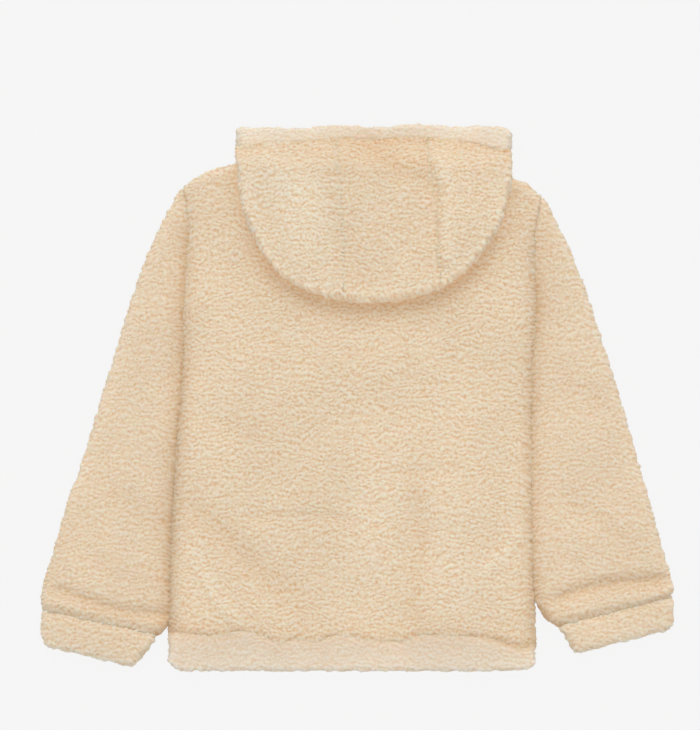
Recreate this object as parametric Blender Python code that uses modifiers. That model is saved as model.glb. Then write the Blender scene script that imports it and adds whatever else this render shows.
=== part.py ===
"""A child's hooded fleece jacket, laid flat on its front with its hood folded down over the back.

Sizes are in millimetres until a mesh is made, which is in metres.  +Z is up, +Y points towards the
hood and +X towards the wearer's right arm.  The origin lies on the surface, under the middle of the
jacket.  Each sewn piece is a wall of fleece, lofted through sections between its outer face and its
inner face, and stands a seam's gap clear of its neighbours.
"""
import math
from collections import namedtuple

import bpy
import numpy as np

MILLIMETRE = 0.001

# Cloth
WALL = 7.0                      # knit and pile together
SEAM = 0.3                      # gap between two pieces that are sewn together
HALF_SEAM = SEAM / 2
LAYER_GAP = 2.4                 # air between the front and the back
FLAT_HEIGHT = 2 * WALL + LAYER_GAP
LEAST_CLOTH = 0.9               # where a roll squeezes a wall, it keeps this much each side

# Hood, on top of the back
HOOD_FLOOR = FLAT_HEIGHT + SEAM
HOOD_WALL = 6.8
HOOD_HEIGHT = 34.0              # top of the folded hood above the surface
MOUTH_HEIGHT = 16.5             # top of the mouth band at its free edge
DROOP_START = 238.0             # from here towards the mouth the hood sinks to the surface
DROOP_END = 285.0

# Rolled edges: the angles at which a roll has its points, from the seam to the flat
ROLL_ANGLES = np.radians((0, 30, 60))
Edge = namedtuple("Edge", "radius depth closing")
SIDE_ROLL = 8.0
FOLD_ROLL = 9.0
GROOVE = Edge(radius=7.0, depth=0.5, closing=0.0)
NAP_SEAM = Edge(radius=5.0, depth=0.18, closing=0.0)
FREE_EDGE = Edge(radius=6.0, depth=0.55, closing=0.0)
FOLD = Edge(radius=FOLD_ROLL, depth=1.0, closing=1.0)
CLOSED_SIDE = Edge(radius=SIDE_ROLL, depth=1.0, closing=1.0)
ZIP_SIDE = Edge(radius=4.0, depth=0.5, closing=0.0)
UNDER_BAND = Edge(radius=3.0, depth=0.0, closing=0.0)
LEAST_ROOM = 0.42               # a roll takes no more than this share of a short section
SQUEEZE = 0.85                  # nor does the cloth in it take more than this share of the roll

# Body, seen from the back: side edges from the shoulder points down to the hem seam
BODY_LEFT = [(-178.5, 219.5), (-176.4, 192), (-179.6, 145), (-182.4, 93), (-183, 41),
             (-185, 2), (-190, -55), (-195, -133), (-197, -212), (-195.5, -247)]
BODY_RIGHT = [(190, 210), (186, 185), (184, 160), (185, 138), (188, 103), (186, 61),
              (183, 24), (183, -55), (184, -160), (185, -212), (185, -257)]
SHOULDER_LEFT = [(-178.5, 219.5), (-168, 229), (-152, 237), (-134, 242.6), (-64, 258)]
SHOULDER_RIGHT = [(98, 258), (130, 243), (159, 229.5), (175, 224.5), (190, 210)]
BACK_NECK = [(-28, 249), (17, 245), (62, 249)]
FRONT_NECK_LEFT = [(-44, 235), (-22, 216), (-6, 211)]
FRONT_NECK_RIGHT = [(6, 211), (40, 221), (74, 240)]
HEM_SEAM_BACK = [(-195.5, -247), (-145, -248), (-119, -242.5), (-97, -249), (-78, -256), (-63, -251),
                 (-45, -254), (-18, -247), (18, -253), (42, -254), (70, -247), (135, -250),
                 (150, -255), (171, -263), (185, -257)]
HEM_SEAM_FRONT = [(-195.5, -247), (-100, -250), (0, -251), (100, -253), (185, -257)]
HEM_EDGE = [(-196.5, -273), (-193, -281), (-184, -285.5), (-60, -285.8), (45, -286.5), (174, -285),
            (182, -281), (185.5, -273)]
BODY_LENGTH = 480.0
BODY_SPANS = 24
BACK_SPANS = 19
FRONT_SPANS = 9
NECK_FADE = 0.06                # share of the shoulder line over which its fold opens at the neck
BACK_OPENING = 0.7              # how far the back's fold opens under the hood
HEM_BAND_WIDTH = 34.0
HEM_BAND_SPANS = 2
HEM_FRONT_SPANS = 8
UNDERARM = 30.0                 # below this line the body is closed at its sides
SIDE_TURN = 30.0                # length of side over which it closes
ARMHOLE_ROLL = 4.0              # how much rounder the side is at the armhole
CREASE_ROWS = [(-260, 1.0), (UNDERARM - 22, 1.0), (UNDERARM + 10, 0.62), (93, 0.5), (145, 0.36),
               (185, 0.15), (220, 0.05)]

# Folds in the back: where each runs, how far its cloth rises or sinks, and how wide it is
Fold = namedtuple("Fold", "x1 y1 x2 y2 rise width")
BACK_FOLDS = [
    Fold(-170, -118, -60, -212, -3.2, 13),
    Fold(66, -65, 62, -254, -3.4, 12),
    Fold(28, -95, 18, -130, 1.6, 26),
    Fold(98, -140, 96, -170, 1.6, 22),
    Fold(48, -72, 96, -78, -1.6, 11),
    Fold(166, -160, 130, -202, -2.2, 12),
    Fold(-80, -120, -18, -130, -1.4, 12),
    Fold(-128, -20, -92, -36, -1.4, 20),
]
HOOD_FOLDS = [
    Fold(-97, 192, -50, 92, -2.2, 11),
    Fold(8, 270, 62, 226, -2.4, 12),
    Fold(-84, 245, -50, 190, 1.4, 18),
    Fold(96, 176, 102, 136, 1.4, 18),
]

# Sleeves, from the shoulder down: where the seam side is and how far it stands off the body's side,
# the outer edge, and the height of the upper face
SleeveRow = namedtuple("SleeveRow", "seam_y away edge_x edge_y height")
SLEEVE_LEFT = [
    SleeveRow(217, 0, -183.5, 216.5, 11.0),
    SleeveRow(210, 0, -188.5, 209.5, 13.5),
    SleeveRow(192, 0, -198.5, 191.5, 16.0),
    SleeveRow(160, 0, -214.5, 159, 16.6),
    SleeveRow(103, 0, -235.2, 103, 16.8),
    SleeveRow(50, 0, -251, 50, 16.6),
    SleeveRow(-2, 0, -267.8, -4, 16.2),
    SleeveRow(-55, 0, -283.5, -57, 16.0),
    SleeveRow(-107, 0, -301, -107, 16.4),
    SleeveRow(-160, 0, -317.5, -162, 16.8),
    SleeveRow(-212, 0, -328.2, -200, 17.2),
    SleeveRow(-236, 3, -329.5, -211, 18.0),
    SleeveRow(-246.5, 14.5, -327, -221, 12.4),
]
SLEEVE_RIGHT = [
    SleeveRow(208, 0, 194.5, 207.5, 11.0),
    SleeveRow(201, 0, 198.5, 201, 13.5),
    SleeveRow(182, 0, 206.5, 185.5, 16.0),
    SleeveRow(155, 0, 221.5, 155, 16.6),
    SleeveRow(103, 0, 241.5, 103, 16.8),
    SleeveRow(50, 0, 258.3, 50, 16.6),
    SleeveRow(-2, 0, 275, -2, 16.2),
    SleeveRow(-55, 0, 289.8, -55, 16.0),
    SleeveRow(-107, 0, 304.5, -107, 16.4),
    SleeveRow(-160, 0, 319, -160, 16.8),
    SleeveRow(-205, 0.5, 329.2, -193, 17.2),
    SleeveRow(-230, 12, 329.7, -200.5, 18.0),
    SleeveRow(-237, 26.5, 327.5, -207.5, 12.4),
]
TUBE_SPANS = 6
CUFF_ROWS = 6
SLEEVE_END = 20.0               # above its end a sleeve has the body's rows, and its own within it
SLEEVE_END_ROLL = 8.0
CuffRow = namedtuple("CuffRow", "seam_x seam_y edge_x edge_y height")
CUFF_LEFT = [
    CuffRow(-210.3, -247, -327, -221.4, 12.4),
    CuffRow(-214.5, -255.5, -329.3, -232, 15.6),
    CuffRow(-220.5, -266, -329.2, -244, 15.8),
    CuffRow(-226.5, -274.5, -327.5, -254, 14.6),
    CuffRow(-233, -281.5, -323, -260, 10.5),
]
CUFF_RIGHT = [
    CuffRow(211.8, -237.5, 327.5, -207.9, 12.4),
    CuffRow(216.5, -246.5, 330.3, -216, 15.6),
    CuffRow(222.5, -257, 330.3, -227, 15.8),
    CuffRow(227.5, -263, 329.4, -236, 14.6),
    CuffRow(232.5, -266.5, 326.5, -242, 10.5),
]

# Hood: stitch line of the mouth band, free edge of the band, lines of the two long seams, crown edge
STITCH_LINE = [(-123.9, 260.5), (-93.5, 264), (-45, 267.2), (-3, 270.5), (41, 270.5), (67, 269.8),
               (111, 264.5), (128, 261.5), (158.6, 256.5)]
MOUTH_EDGE = [(-126.5, 279), (-118, 282.6), (-67, 281.6), (-15, 284.4), (19, 282.6), (70, 285.6),
              (108, 282.4), (136, 284.4), (156, 280.5), (162.5, 276)]
LEFT_SEAM = [(-23, 270), (-18, 208), (-15, 155), (-14.7, 104)]
RIGHT_SEAM = [(74.5, 269.5), (76, 225), (82, 190), (86, 150), (88.2, 117.6)]
CROWN_LEFT = [(-123.9, 260.5), (-120.8, 218.4), (-117.6, 197.4), (-107.1, 172.2), (-93.5, 148.1),
              (-75.6, 128.1), (-53.6, 115), (-36.8, 109), (-14.7, 104)]
CROWN_CENTRE = [(-14.7, 104), (10, 102), (35.7, 102.9), (60, 107.5), (88.2, 117.6)]
CROWN_RIGHT = [(158.6, 256.5), (159.6, 232.1), (155.4, 212.1), (148.1, 183.8), (135.5, 163.8),
               (119.7, 141.8), (101.9, 126), (88.2, 117.6)]
NECK_JOIN_LEFT = (-23, 247)     # where the long seams reach the neckline, under the hood
NECK_JOIN_RIGHT = (75, 250)
SEAM_TURN = 0.91                # share of a long seam at which the side pieces turn round the crown
SEAM_SPREAD = 1.4               # how much further apart a side's rows stand at the mouth
STITCH_FADE = 3                 # power by which a side's first row leaves the stitch line
NECK_MIDDLE = (26, 246)
HOOD_SIDE_LENGTH = 200.0
HOOD_SIDE_ROWS = 10
HOOD_SIDE_SPANS = 5
HOOD_CENTRE_WIDTH = 100.0
HOOD_CENTRE_ROWS = 4
HOOD_CENTRE_SPANS = 9
HOOD_BAND_WIDTH = 24.0
HOOD_BAND_ROWS = 1
HOOD_BAND_SPANS = 15
CHIN_SPANS = 8
CHIN_LEFT_X = -112.0            # where the band turns from the mouth's corners to the necklines
CHIN_RIGHT_X = 146.0
CHIN_STEP = 0.005
CHIN_FADE = 9                   # power by which the band leaves the mouth's corner
CHIN_TOP = 234.0                # the mouth's lowest point, at the top of the zip
NECK_GAP = 1.2                  # room for the neckline's seam, which curves under the hood

# Front zip, closed
CHANNEL = 5.8                   # half the space between the fronts
TAPE_HALF_WIDTH = 13.0
TAPE_BOTTOM = WALL + SEAM
TAPE_THICKNESS = 1.1
CHAIN_HALF_WIDTH = 2.7
CHAIN_DEPTH = 2.6
ZIP_TOP = 210.0
ZIP_FOOT = -283.0
SLIDER_LENGTH = 13.0
SLIDER_HALF_WIDTH = 4.5
SLIDER_FACE = 3.3
SLIDER_BEVEL = 0.8
CHAIN_INSET = 1.0               # how far the teeth stop short of the tape's foot
TAPE_TUCK = 2.0                 # how far the tape's top is tucked under the hood band
HINGE_Y = 202.0
HINGE_Z = 1.9
PIN_RADIUS = 0.5
EYE_RADIUS = 1.25
EYE_HOLE = 0.8
LUG_OFFSET = 1.9
LUG_THICKNESS = 0.9
LUG_RADIUS = 1.3
LUG_NECK = 1.04                 # half the length of the foot that joins a lug to the slider
LUG_SINK = 1.0
TONGUE_LENGTH = 5.0
TAB_START = 4.0
HOLE_SPARE = 2.0                # how much longer the hole's cutter is than the eye
PULL_LENGTH = 21.0
PULL_WIDTH = 5.0
PULL_THICKNESS = 1.6
EYE_WIDTH = 2.2
ROUND_SIDES = 16

CREAM = (0.78, 0.66, 0.50, 1.0)
CREAM_DARK = (0.74, 0.61, 0.45, 1.0)
ZIP_CREAM = (0.70, 0.62, 0.50, 1.0)
METAL = (0.62, 0.60, 0.56, 1.0)


# ---------------------------------------------------------------- curves and surfaces in plan

def smooth(at, knots, values):
    """A cubic through the knots that never swings past them: a turning point has no slope."""
    knots = np.asarray(knots, float)
    values = np.asarray(values, float)
    grades = np.diff(values) / np.diff(knots)
    before, after = grades[:-1], grades[1:]
    same_way = before * after > 0
    total = np.where(same_way, before + after, 1.0)
    slopes = np.concatenate((grades[:1], np.where(same_way, 2 * before * after / total, 0), grades[-1:]))
    at = np.clip(at, knots[0], knots[-1])
    i = np.clip(np.searchsorted(knots, at) - 1, 0, len(knots) - 2)
    span = knots[i + 1] - knots[i]
    t = (at - knots[i]) / span
    rise = values[i] * (1 + 2 * t) * (1 - t) ** 2 + values[i + 1] * t ** 2 * (3 - 2 * t)
    return rise + span * t * (1 - t) * (slopes[i] * (1 - t) - slopes[i + 1] * t)


def path(points):
    """A smooth plan curve through the points, as a function of the share of its length."""
    points = np.asarray(points, float)
    steps = np.hypot(*np.diff(points, axis=0).T)
    shares = np.concatenate(([0], np.cumsum(steps))) / steps.sum()

    def at(share):
        return np.stack([smooth(share, shares, points[:, k]) for k in (0, 1)], axis=-1)
    return at


def part_of(curve, start, end):
    """The stretch of a curve between two shares of its length."""
    return lambda share: curve(start + (end - start) * np.asarray(share, float))


def ruled(start, end):
    """Rows of straight lines between two curves, as a function of across and along shares."""
    def at(u, v):
        u = np.asarray(u, float)[..., None]
        return start(v) * (1 - u) + end(v) * u
    return at


def patch(left, right, top, bottom):
    """A surface inside four curves: u runs from left to right, v from top to bottom."""
    def at(u, v):
        u = np.asarray(u, float)
        v = np.asarray(v, float)
        a, b = u[..., None], v[..., None]
        sides = left(v) * (1 - a) + right(v) * a
        ends = top(u) * (1 - b) + bottom(u) * b
        corners = ((left(0.0) * (1 - a) + right(0.0) * a) * (1 - b)
                   + (left(1.0) * (1 - a) + right(1.0) * a) * b)
        return sides + ends - corners
    return at


def turned(plan):
    """The same surface with its across and along shares exchanged."""
    return lambda u, v: plan(v, u)


def moved(plan, x, y=0.0):
    """The same surface, moved in plan."""
    return lambda u, v: plan(u, v) + np.array((x, y))


def share_at(curve, axis, value):
    """The share of a curve's length at which one of its coordinates has a value."""
    shares = np.linspace(0, 1, 2001)
    return float(shares[np.argmin(abs(curve(shares)[:, axis] - value))])


# ---------------------------------------------------------------- heights

def folds_at(points, folds):
    """How far the folds raise or lower the cloth: soft troughs and ridges that fade at their ends."""
    total = np.zeros(points.shape[:-1])
    for fold in folds:
        start = np.array((fold.x1, fold.y1), float)
        run = np.array((fold.x2, fold.y2), float) - start
        length = np.hypot(*run)
        along = (points - start) @ run / length
        beside = (points - start) @ np.array((-run[1], run[0])) / length
        past = np.maximum(0, np.maximum(-along, along - length))
        total += fold.rise * np.exp(-(beside / fold.width) ** 2 - (past / fold.width) ** 2)
    return total


def back_face(points):
    return FLAT_HEIGHT + folds_at(points, BACK_FOLDS)


def hood_face(points):
    """The folded hood's top: level over the back, then sinking to the surface at the mouth."""
    t = np.clip((points[..., 1] - DROOP_START) / (DROOP_END - DROOP_START), 0, 1)
    droop = t * t * (3 - 2 * t)
    return HOOD_HEIGHT + (MOUTH_HEIGHT - HOOD_HEIGHT) * droop + folds_at(points, HOOD_FOLDS)


def level(height):
    return lambda points: np.full(points.shape[:-1], float(height))


Layers = namedtuple("Layers", "low high wall plain_high")
BODY_LAYERS = Layers(level(0), back_face, WALL, level(FLAT_HEIGHT))
HOOD_LAYERS = Layers(level(HOOD_FLOOR), hood_face, HOOD_WALL, hood_face)
BAND_LAYERS = Layers(level(0), hood_face, HOOD_WALL, hood_face)


# ---------------------------------------------------------------- walls

def columns(length, start, end, spans):
    """Distances and rises of a run's columns, for its outer face and for its inner face."""
    room = LEAST_ROOM * length
    sine = np.sin(ROLL_ANGLES)
    reach = 1 - np.cos(ROLL_ANGLES)
    radii, outer, inner, outer_rise, inner_rise = [], [], [], [], []
    for edge in (start, end):
        radius = min(edge.radius, room)
        squeezed = min(WALL, SQUEEZE * radius) * edge.closing
        radii.append(radius)
        outer.append(radius * reach)
        inner.append(squeezed + (radius - squeezed) * reach)
        outer_rise.append(1 - edge.depth * (1 - sine))
        inner_rise.append(1 - edge.closing * (1 - sine))
    middle = np.linspace(radii[0], length - radii[1], spans + 1)
    ones = np.ones(spans + 1)
    return (np.concatenate((outer[0], middle, length - outer[1][::-1])),
            np.concatenate((outer_rise[0], ones, outer_rise[1][::-1])),
            np.concatenate((inner[0], middle, length - inner[1][::-1])),
            np.concatenate((inner_rise[0], ones, inner_rise[1][::-1])))


Station = namedtuple("Station", "outer outer_rise inner inner_rise")


def stations(length, start, end, spans):
    """The rows of a sheet, as shares of its length with their rises."""
    outer, outer_rise, inner, inner_rise = columns(length, start, end, spans)
    return [Station(*row) for row in zip(outer / length, outer_rise, inner / length, inner_rise)]


def run(plan, station, layers, upper, start, end, spans, closing_along=None, height=None):
    """One row of points on a layer's outer face, and the row on its inner face under them."""
    samples = plan(np.linspace(0, 1, 9), np.full(9, station.outer))
    length = np.hypot(*np.diff(samples, axis=0).T).sum()
    out_at, out_rise, in_at, in_rise = columns(length, start, end, spans)
    out_u, in_u = out_at / length, in_at / length
    share = np.ones(len(in_u)) if closing_along is None else closing_along(in_u)
    in_v = station.outer + share * (station.inner - station.outer)
    in_rise_along = 1 - share * (1 - station.inner_rise)
    outer = plan(out_u, np.full(len(out_u), station.outer))
    inner = plan(in_u, in_v)
    out_rise = np.minimum(out_rise, station.outer_rise)
    in_rise = np.minimum(in_rise, in_rise_along)

    def face(points, plain):
        if not upper:
            return layers.low(points)
        if height is not None:
            return np.full(len(points), float(height))
        return layers.plain_high(points) if plain else layers.high(points)

    def middle(points):
        top = layers.plain_high(points) if height is None else np.full(len(points), float(height))
        return (layers.low(points) + np.minimum(top, layers.plain_high(points))) / 2

    side = 1 if upper else -1
    out_base = middle(outer) + side * HALF_SEAM
    in_base = middle(inner) + side * HALF_SEAM
    lining = side * np.maximum(side * (face(inner, True) - in_base) - layers.wall, LEAST_CLOTH)
    outer_z = out_base + (face(outer, False) - out_base) * out_rise
    inner_z = in_base + lining * in_rise
    return (np.column_stack((outer, outer_z)), np.column_stack((inner, inner_z)))


def joined(runs):
    """Runs laid end to end round a fold: the fold's own column is kept once."""
    outer, inner = runs[0]
    for next_outer, next_inner in runs[1:]:
        outer = np.vstack((outer, next_outer[1:]))
        inner = np.vstack((inner, next_inner[1:]))
    return outer, inner


def reverse(one_run):
    return one_run[0][::-1], one_run[1][::-1]


# ---------------------------------------------------------------- objects

def fresh_scene():
    for old in list(bpy.data.objects):
        bpy.data.objects.remove(old, do_unlink=True)


def collection(name):
    made = bpy.data.collections.new(name)
    bpy.context.scene.collection.children.link(made)
    return made


def material(name, colour, roughness, metallic=0.0):
    made = bpy.data.materials.new(name)
    made.use_nodes = True
    shader = made.node_tree.nodes["Principled BSDF"]
    shader.inputs["Base Color"].default_value = colour
    shader.inputs["Roughness"].default_value = roughness
    shader.inputs["Metallic"].default_value = metallic
    return made


def object_from(name, points, faces, finish, home, origin=(0, 0, 0)):
    mesh = bpy.data.meshes.new(name)
    placed = (np.asarray(points) - np.array(origin)) * MILLIMETRE
    mesh.from_pydata(placed.tolist(), [], faces)
    mesh.validate()
    mesh.materials.append(finish)
    mesh.shade_smooth()
    mesh.set_sharp_from_angle(angle=math.radians(50))
    made = bpy.data.objects.new(name, mesh)
    made.location = np.array(origin) * MILLIMETRE
    home.objects.link(made)
    return made


def sheet(name, rows, finish, home):
    """A wall of cloth from its rows, each a pair of outer and inner points, closed along its rim."""
    outer = np.array([row[0] for row in rows])
    inner = np.array([row[1] for row in rows])
    deep, wide = outer.shape[:2]
    count = deep * wide
    faces = []
    for i in range(deep - 1):
        for j in range(wide - 1):
            a = i * wide + j
            quad = (a, a + 1, a + wide + 1, a + wide)
            faces.append(quad)
            faces.append(tuple(count + k for k in reversed(quad)))
    rim = ([i for i in range(wide)] + [i * wide + wide - 1 for i in range(1, deep)]
           + [(deep - 1) * wide + i for i in range(wide - 2, -1, -1)]
           + [i * wide for i in range(deep - 2, 0, -1)])
    for a, b in zip(rim, rim[1:] + rim[:1]):
        faces.append((b, a, count + a, count + b))
    points = np.vstack((outer.reshape(-1, 3), inner.reshape(-1, 3)))
    middle = outer[deep // 2, wide // 2] - inner[deep // 2, wide // 2]
    along = outer[deep // 2 + 1, wide // 2] - outer[deep // 2, wide // 2]
    over = outer[deep // 2, wide // 2 + 1] - outer[deep // 2, wide // 2]
    if np.dot(np.cross(over, along), middle) < 0:
        faces = [tuple(reversed(face)) for face in faces]
    return object_from(name, points, faces, finish, home)


def block(name, low, high, finish, home):
    """A box between two corners, made from the cube primitive."""
    bpy.ops.mesh.primitive_cube_add(size=1)
    made = bpy.context.object
    made.name = name
    made.data.name = name
    low, high = np.array(low, float), np.array(high, float)
    for vertex in made.data.vertices:
        vertex.co = ((low + high) / 2 + np.array(vertex.co) * (high - low)) * MILLIMETRE
    made.data.materials.append(finish)
    for holder in list(made.users_collection):
        holder.objects.unlink(made)
    home.objects.link(made)
    return made


def rod(name, centre, radius, length, finish, home):
    """A cylinder along X, made from the cylinder primitive."""
    bpy.ops.mesh.primitive_cylinder_add(vertices=ROUND_SIDES, radius=radius * MILLIMETRE,
                                        depth=length * MILLIMETRE)
    made = bpy.context.object
    made.name = name
    made.data.name = name
    for vertex in made.data.vertices:
        x, y, z = vertex.co
        vertex.co = (z + centre[0] * MILLIMETRE, y + centre[1] * MILLIMETRE, -x + centre[2] * MILLIMETRE)
    made.data.materials.append(finish)
    for holder in list(made.users_collection):
        holder.objects.unlink(made)
    home.objects.link(made)
    return made


def combine(target, other, operation, cutters):
    """A Boolean of two objects; the second goes with the cutters."""
    for holder in list(other.users_collection):
        holder.objects.unlink(other)
    cutters.objects.link(other)
    other.hide_render = True
    other.display_type = "WIRE"
    step = target.modifiers.new(other.name, "BOOLEAN")
    step.operation = operation
    step.solver = "EXACT"
    step.object = other


# ---------------------------------------------------------------- body

def crease_depth(y):
    """How far the cloth rolls down at the side: a crease at the armhole, a full roll below it."""
    heights, depths = zip(*CREASE_ROWS)
    return float(np.interp(y, heights, depths))


def side_closing(y):
    """How far the body's side closes: open at the armhole and closed below it."""
    return float(np.clip(0.4 + (UNDERARM - y) / SIDE_TURN, 0, 1))


def side_edge(y):
    closing = side_closing(y)
    return Edge(SIDE_ROLL + ARMHOLE_ROLL * (1 - closing), crease_depth(y), closing)


def body_stations():
    """Rows of the body's panels, from the shoulders to the hem seam."""
    return stations(BODY_LENGTH, CLOSED_SIDE, GROOVE, BODY_SPANS)


def body_rows(plan, upper, left, right, spans, closing_along):
    """Rows of a body panel from its top edge to the hem seam."""
    rows = []
    for station in body_stations():
        y = plan(0.0, station.outer)[1]
        edges = [side_edge(y) if edge is None else edge for edge in (left, right)]
        rows.append(run(plan, station, BODY_LAYERS, upper, *edges, spans, closing_along))
    return rows


def make_back(finish, home):
    top = path(SHOULDER_LEFT + BACK_NECK + SHOULDER_RIGHT)
    neck = [share_at(top, 0, x) for x in (SHOULDER_LEFT[-1][0], SHOULDER_RIGHT[0][0])]
    plan = patch(path(BODY_LEFT), path(BODY_RIGHT), top, path(HEM_SEAM_BACK))

    def closed(u):
        from_left, from_right = (np.clip(run / NECK_FADE, 0, 1) for run in (u - neck[0], neck[1] - u))
        return 1 - BACK_OPENING * from_left * from_right
    rows = body_rows(plan, True, None, None, BACK_SPANS, closed)
    return sheet("back", rows, finish, home)


def make_fronts(finish, home):
    seam = path(HEM_SEAM_FRONT)
    cut = share_at(seam, 0, -CHANNEL), share_at(seam, 0, CHANNEL)

    def closed(past_neck):
        return np.clip((NECK_FADE + past_neck) / (NECK_FADE + 0.02), 0, 1)

    left_top = path(SHOULDER_LEFT + FRONT_NECK_LEFT)
    left_neck = share_at(left_top, 0, SHOULDER_LEFT[-1][0])
    foot = tuple(seam(cut[0]))
    edge = path([FRONT_NECK_LEFT[-1], (-CHANNEL, 120), (-CHANNEL, 0), (-CHANNEL, -120), foot])
    plan = patch(path(BODY_LEFT), edge, left_top, part_of(seam, 0, cut[0]))
    rows = body_rows(plan, False, None, ZIP_SIDE, FRONT_SPANS, lambda u: closed(left_neck - u))
    sheet("front_left", rows, finish, home)

    right_top = path(FRONT_NECK_RIGHT + SHOULDER_RIGHT)
    right_neck = share_at(right_top, 0, SHOULDER_RIGHT[0][0])
    foot = tuple(seam(cut[1]))
    edge = path([FRONT_NECK_RIGHT[0], (CHANNEL, 120), (CHANNEL, 0), (CHANNEL, -120), foot])
    plan = patch(edge, path(BODY_RIGHT), right_top, part_of(seam, cut[1], 1))
    rows = body_rows(plan, False, ZIP_SIDE, None, FRONT_SPANS, lambda u: closed(u - right_neck))
    sheet("front_right", rows, finish, home)


# ---------------------------------------------------------------- sleeves and cuffs

def tube_row(seam, edge, height, start, spans):
    """One section of a flattened tube, between its seam side and its outer edge."""
    plan = ruled(lambda v: np.broadcast_to(seam, np.shape(v) + (2,)),
                 lambda v: np.broadcast_to(edge, np.shape(v) + (2,)))
    station = Station(0.0, 1.0, 0.0, 1.0)
    upper = run(plan, station, BODY_LAYERS, True, start, FOLD, spans, height=height)
    lower = run(plan, station, BODY_LAYERS, False, start, FOLD, spans, height=height)
    return joined((upper, reverse(lower)))


def body_marks(side_points):
    """Heights along a body side at which the panels have their rows."""
    side = path(side_points)
    return [float(side(station.outer)[1]) for station in body_stations()]


def make_sleeve(name, table, side_points, side, finish, home):
    """A sleeve: one piece round the arm, its long seam against the body's side."""
    body = path(side_points)(np.linspace(0, 1, 400))
    knots = [-row.seam_y for row in table]
    end = table[-1].seam_y
    roll = table[-2].seam_y
    marks = [y for y in body_marks(side_points) if end + SLEEVE_END < y <= table[0].seam_y]
    marks += [roll + SLEEVE_END_ROLL, roll, (roll + end) / 2, end]
    rows = []
    for y in marks:
        edge_x, edge_y, height, away = (
            float(smooth(-y, knots, [getattr(row, column) for row in table]))
            for column in ("edge_x", "edge_y", "height", "away"))
        body_x = float(np.interp(-y, -body[:, 1], body[:, 0]))
        seam = (body_x + side * (SEAM + max(away, 0)), y)
        rows.append(tube_row(seam, (edge_x, edge_y), height, side_edge(y), TUBE_SPANS))
    return sheet(name, rows, finish, home)


def make_cuff(name, table, finish, home):
    """A cuff: a short tube round the wrist, with a rounded free edge."""
    knots = np.arange(len(table))
    rows = []
    for mark in np.linspace(0, len(table) - 1, CUFF_ROWS):
        seam_x, seam_y, edge_x, edge_y, height = (
            float(smooth(mark, knots, [row[k] for row in table])) for k in range(5))
        rows.append(tube_row((seam_x, seam_y), (edge_x, edge_y), height, CLOSED_SIDE, TUBE_SPANS))
    return sheet(name, rows, finish, home)


# ---------------------------------------------------------------- hem band

def lowered(curve, amount):
    return lambda share: curve(share) - np.array((0.0, amount))


def make_hem_band(finish, home):
    """The hem band: one strip round the body, from the zip round both sides to the zip."""
    edge = path(HEM_EDGE)
    back = ruled(lowered(path(HEM_SEAM_BACK), SEAM), edge)
    seam = path(HEM_SEAM_FRONT)
    cut_seam = [share_at(seam, 0, x) for x in (-CHANNEL, CHANNEL)]
    cut_edge = [share_at(edge, 0, x) for x in (-CHANNEL, CHANNEL)]
    seam = lowered(seam, SEAM)
    left = ruled(part_of(seam, 0, cut_seam[0]), part_of(edge, 0, cut_edge[0]))
    right = ruled(part_of(seam, 1, cut_seam[1]), part_of(edge, 1, cut_edge[1]))
    side = CLOSED_SIDE
    rows = []
    for station in stations(HEM_BAND_WIDTH, GROOVE, FREE_EDGE, HEM_BAND_SPANS):
        upper = run(turned(back), station, BODY_LAYERS, True, side, side, BACK_SPANS)
        lower_left = run(turned(left), station, BODY_LAYERS, False, side, ZIP_SIDE, HEM_FRONT_SPANS)
        lower_right = run(turned(right), station, BODY_LAYERS, False, side, ZIP_SIDE, HEM_FRONT_SPANS)
        rows.append(joined((reverse(lower_left), upper, lower_right)))
    return sheet("hem_band", rows, finish, home)


# ---------------------------------------------------------------- hood

def side_plans(seam_points, neck_join, crown, stitch_part, shift):
    """Plans of a hood side's upper and lower layers, from the long seam to the crown's edge."""
    seam = path(seam_points)
    neck = path([neck_join] + seam_points[1:])
    edge = path(crown)

    def seam_share(v):
        return SEAM_TURN * (1 - (1 - np.asarray(v, float)) ** SEAM_SPREAD)
    upper = ruled(lambda v: seam(seam_share(v)), edge)
    lower = ruled(lambda v: neck(seam_share(v)), edge)

    def fitted(u, v):
        u = np.asarray(u, float)
        fade = (1 - np.asarray(v, float))[..., None] ** STITCH_FADE
        return upper(u, v) + fade * (stitch_part(u) - upper(u, np.zeros_like(u)))
    return moved(fitted, shift, -HALF_SEAM), moved(lower, shift, -HALF_SEAM)


def make_hood_side(name, plans, finish, home):
    """A side of the hood: over the top, round the crown's edge and back under to the neckline."""
    rows = []
    for station in stations(HOOD_SIDE_LENGTH, NAP_SEAM, UNDER_BAND, HOOD_SIDE_ROWS):
        upper = run(plans[0], station, HOOD_LAYERS, True, NAP_SEAM, FOLD, HOOD_SIDE_SPANS)
        lower = run(plans[1], station, HOOD_LAYERS, False, NAP_SEAM, FOLD, HOOD_SIDE_SPANS)
        rows.append(joined((upper, reverse(lower))))
    return sheet(name, rows, finish, home)


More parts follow.
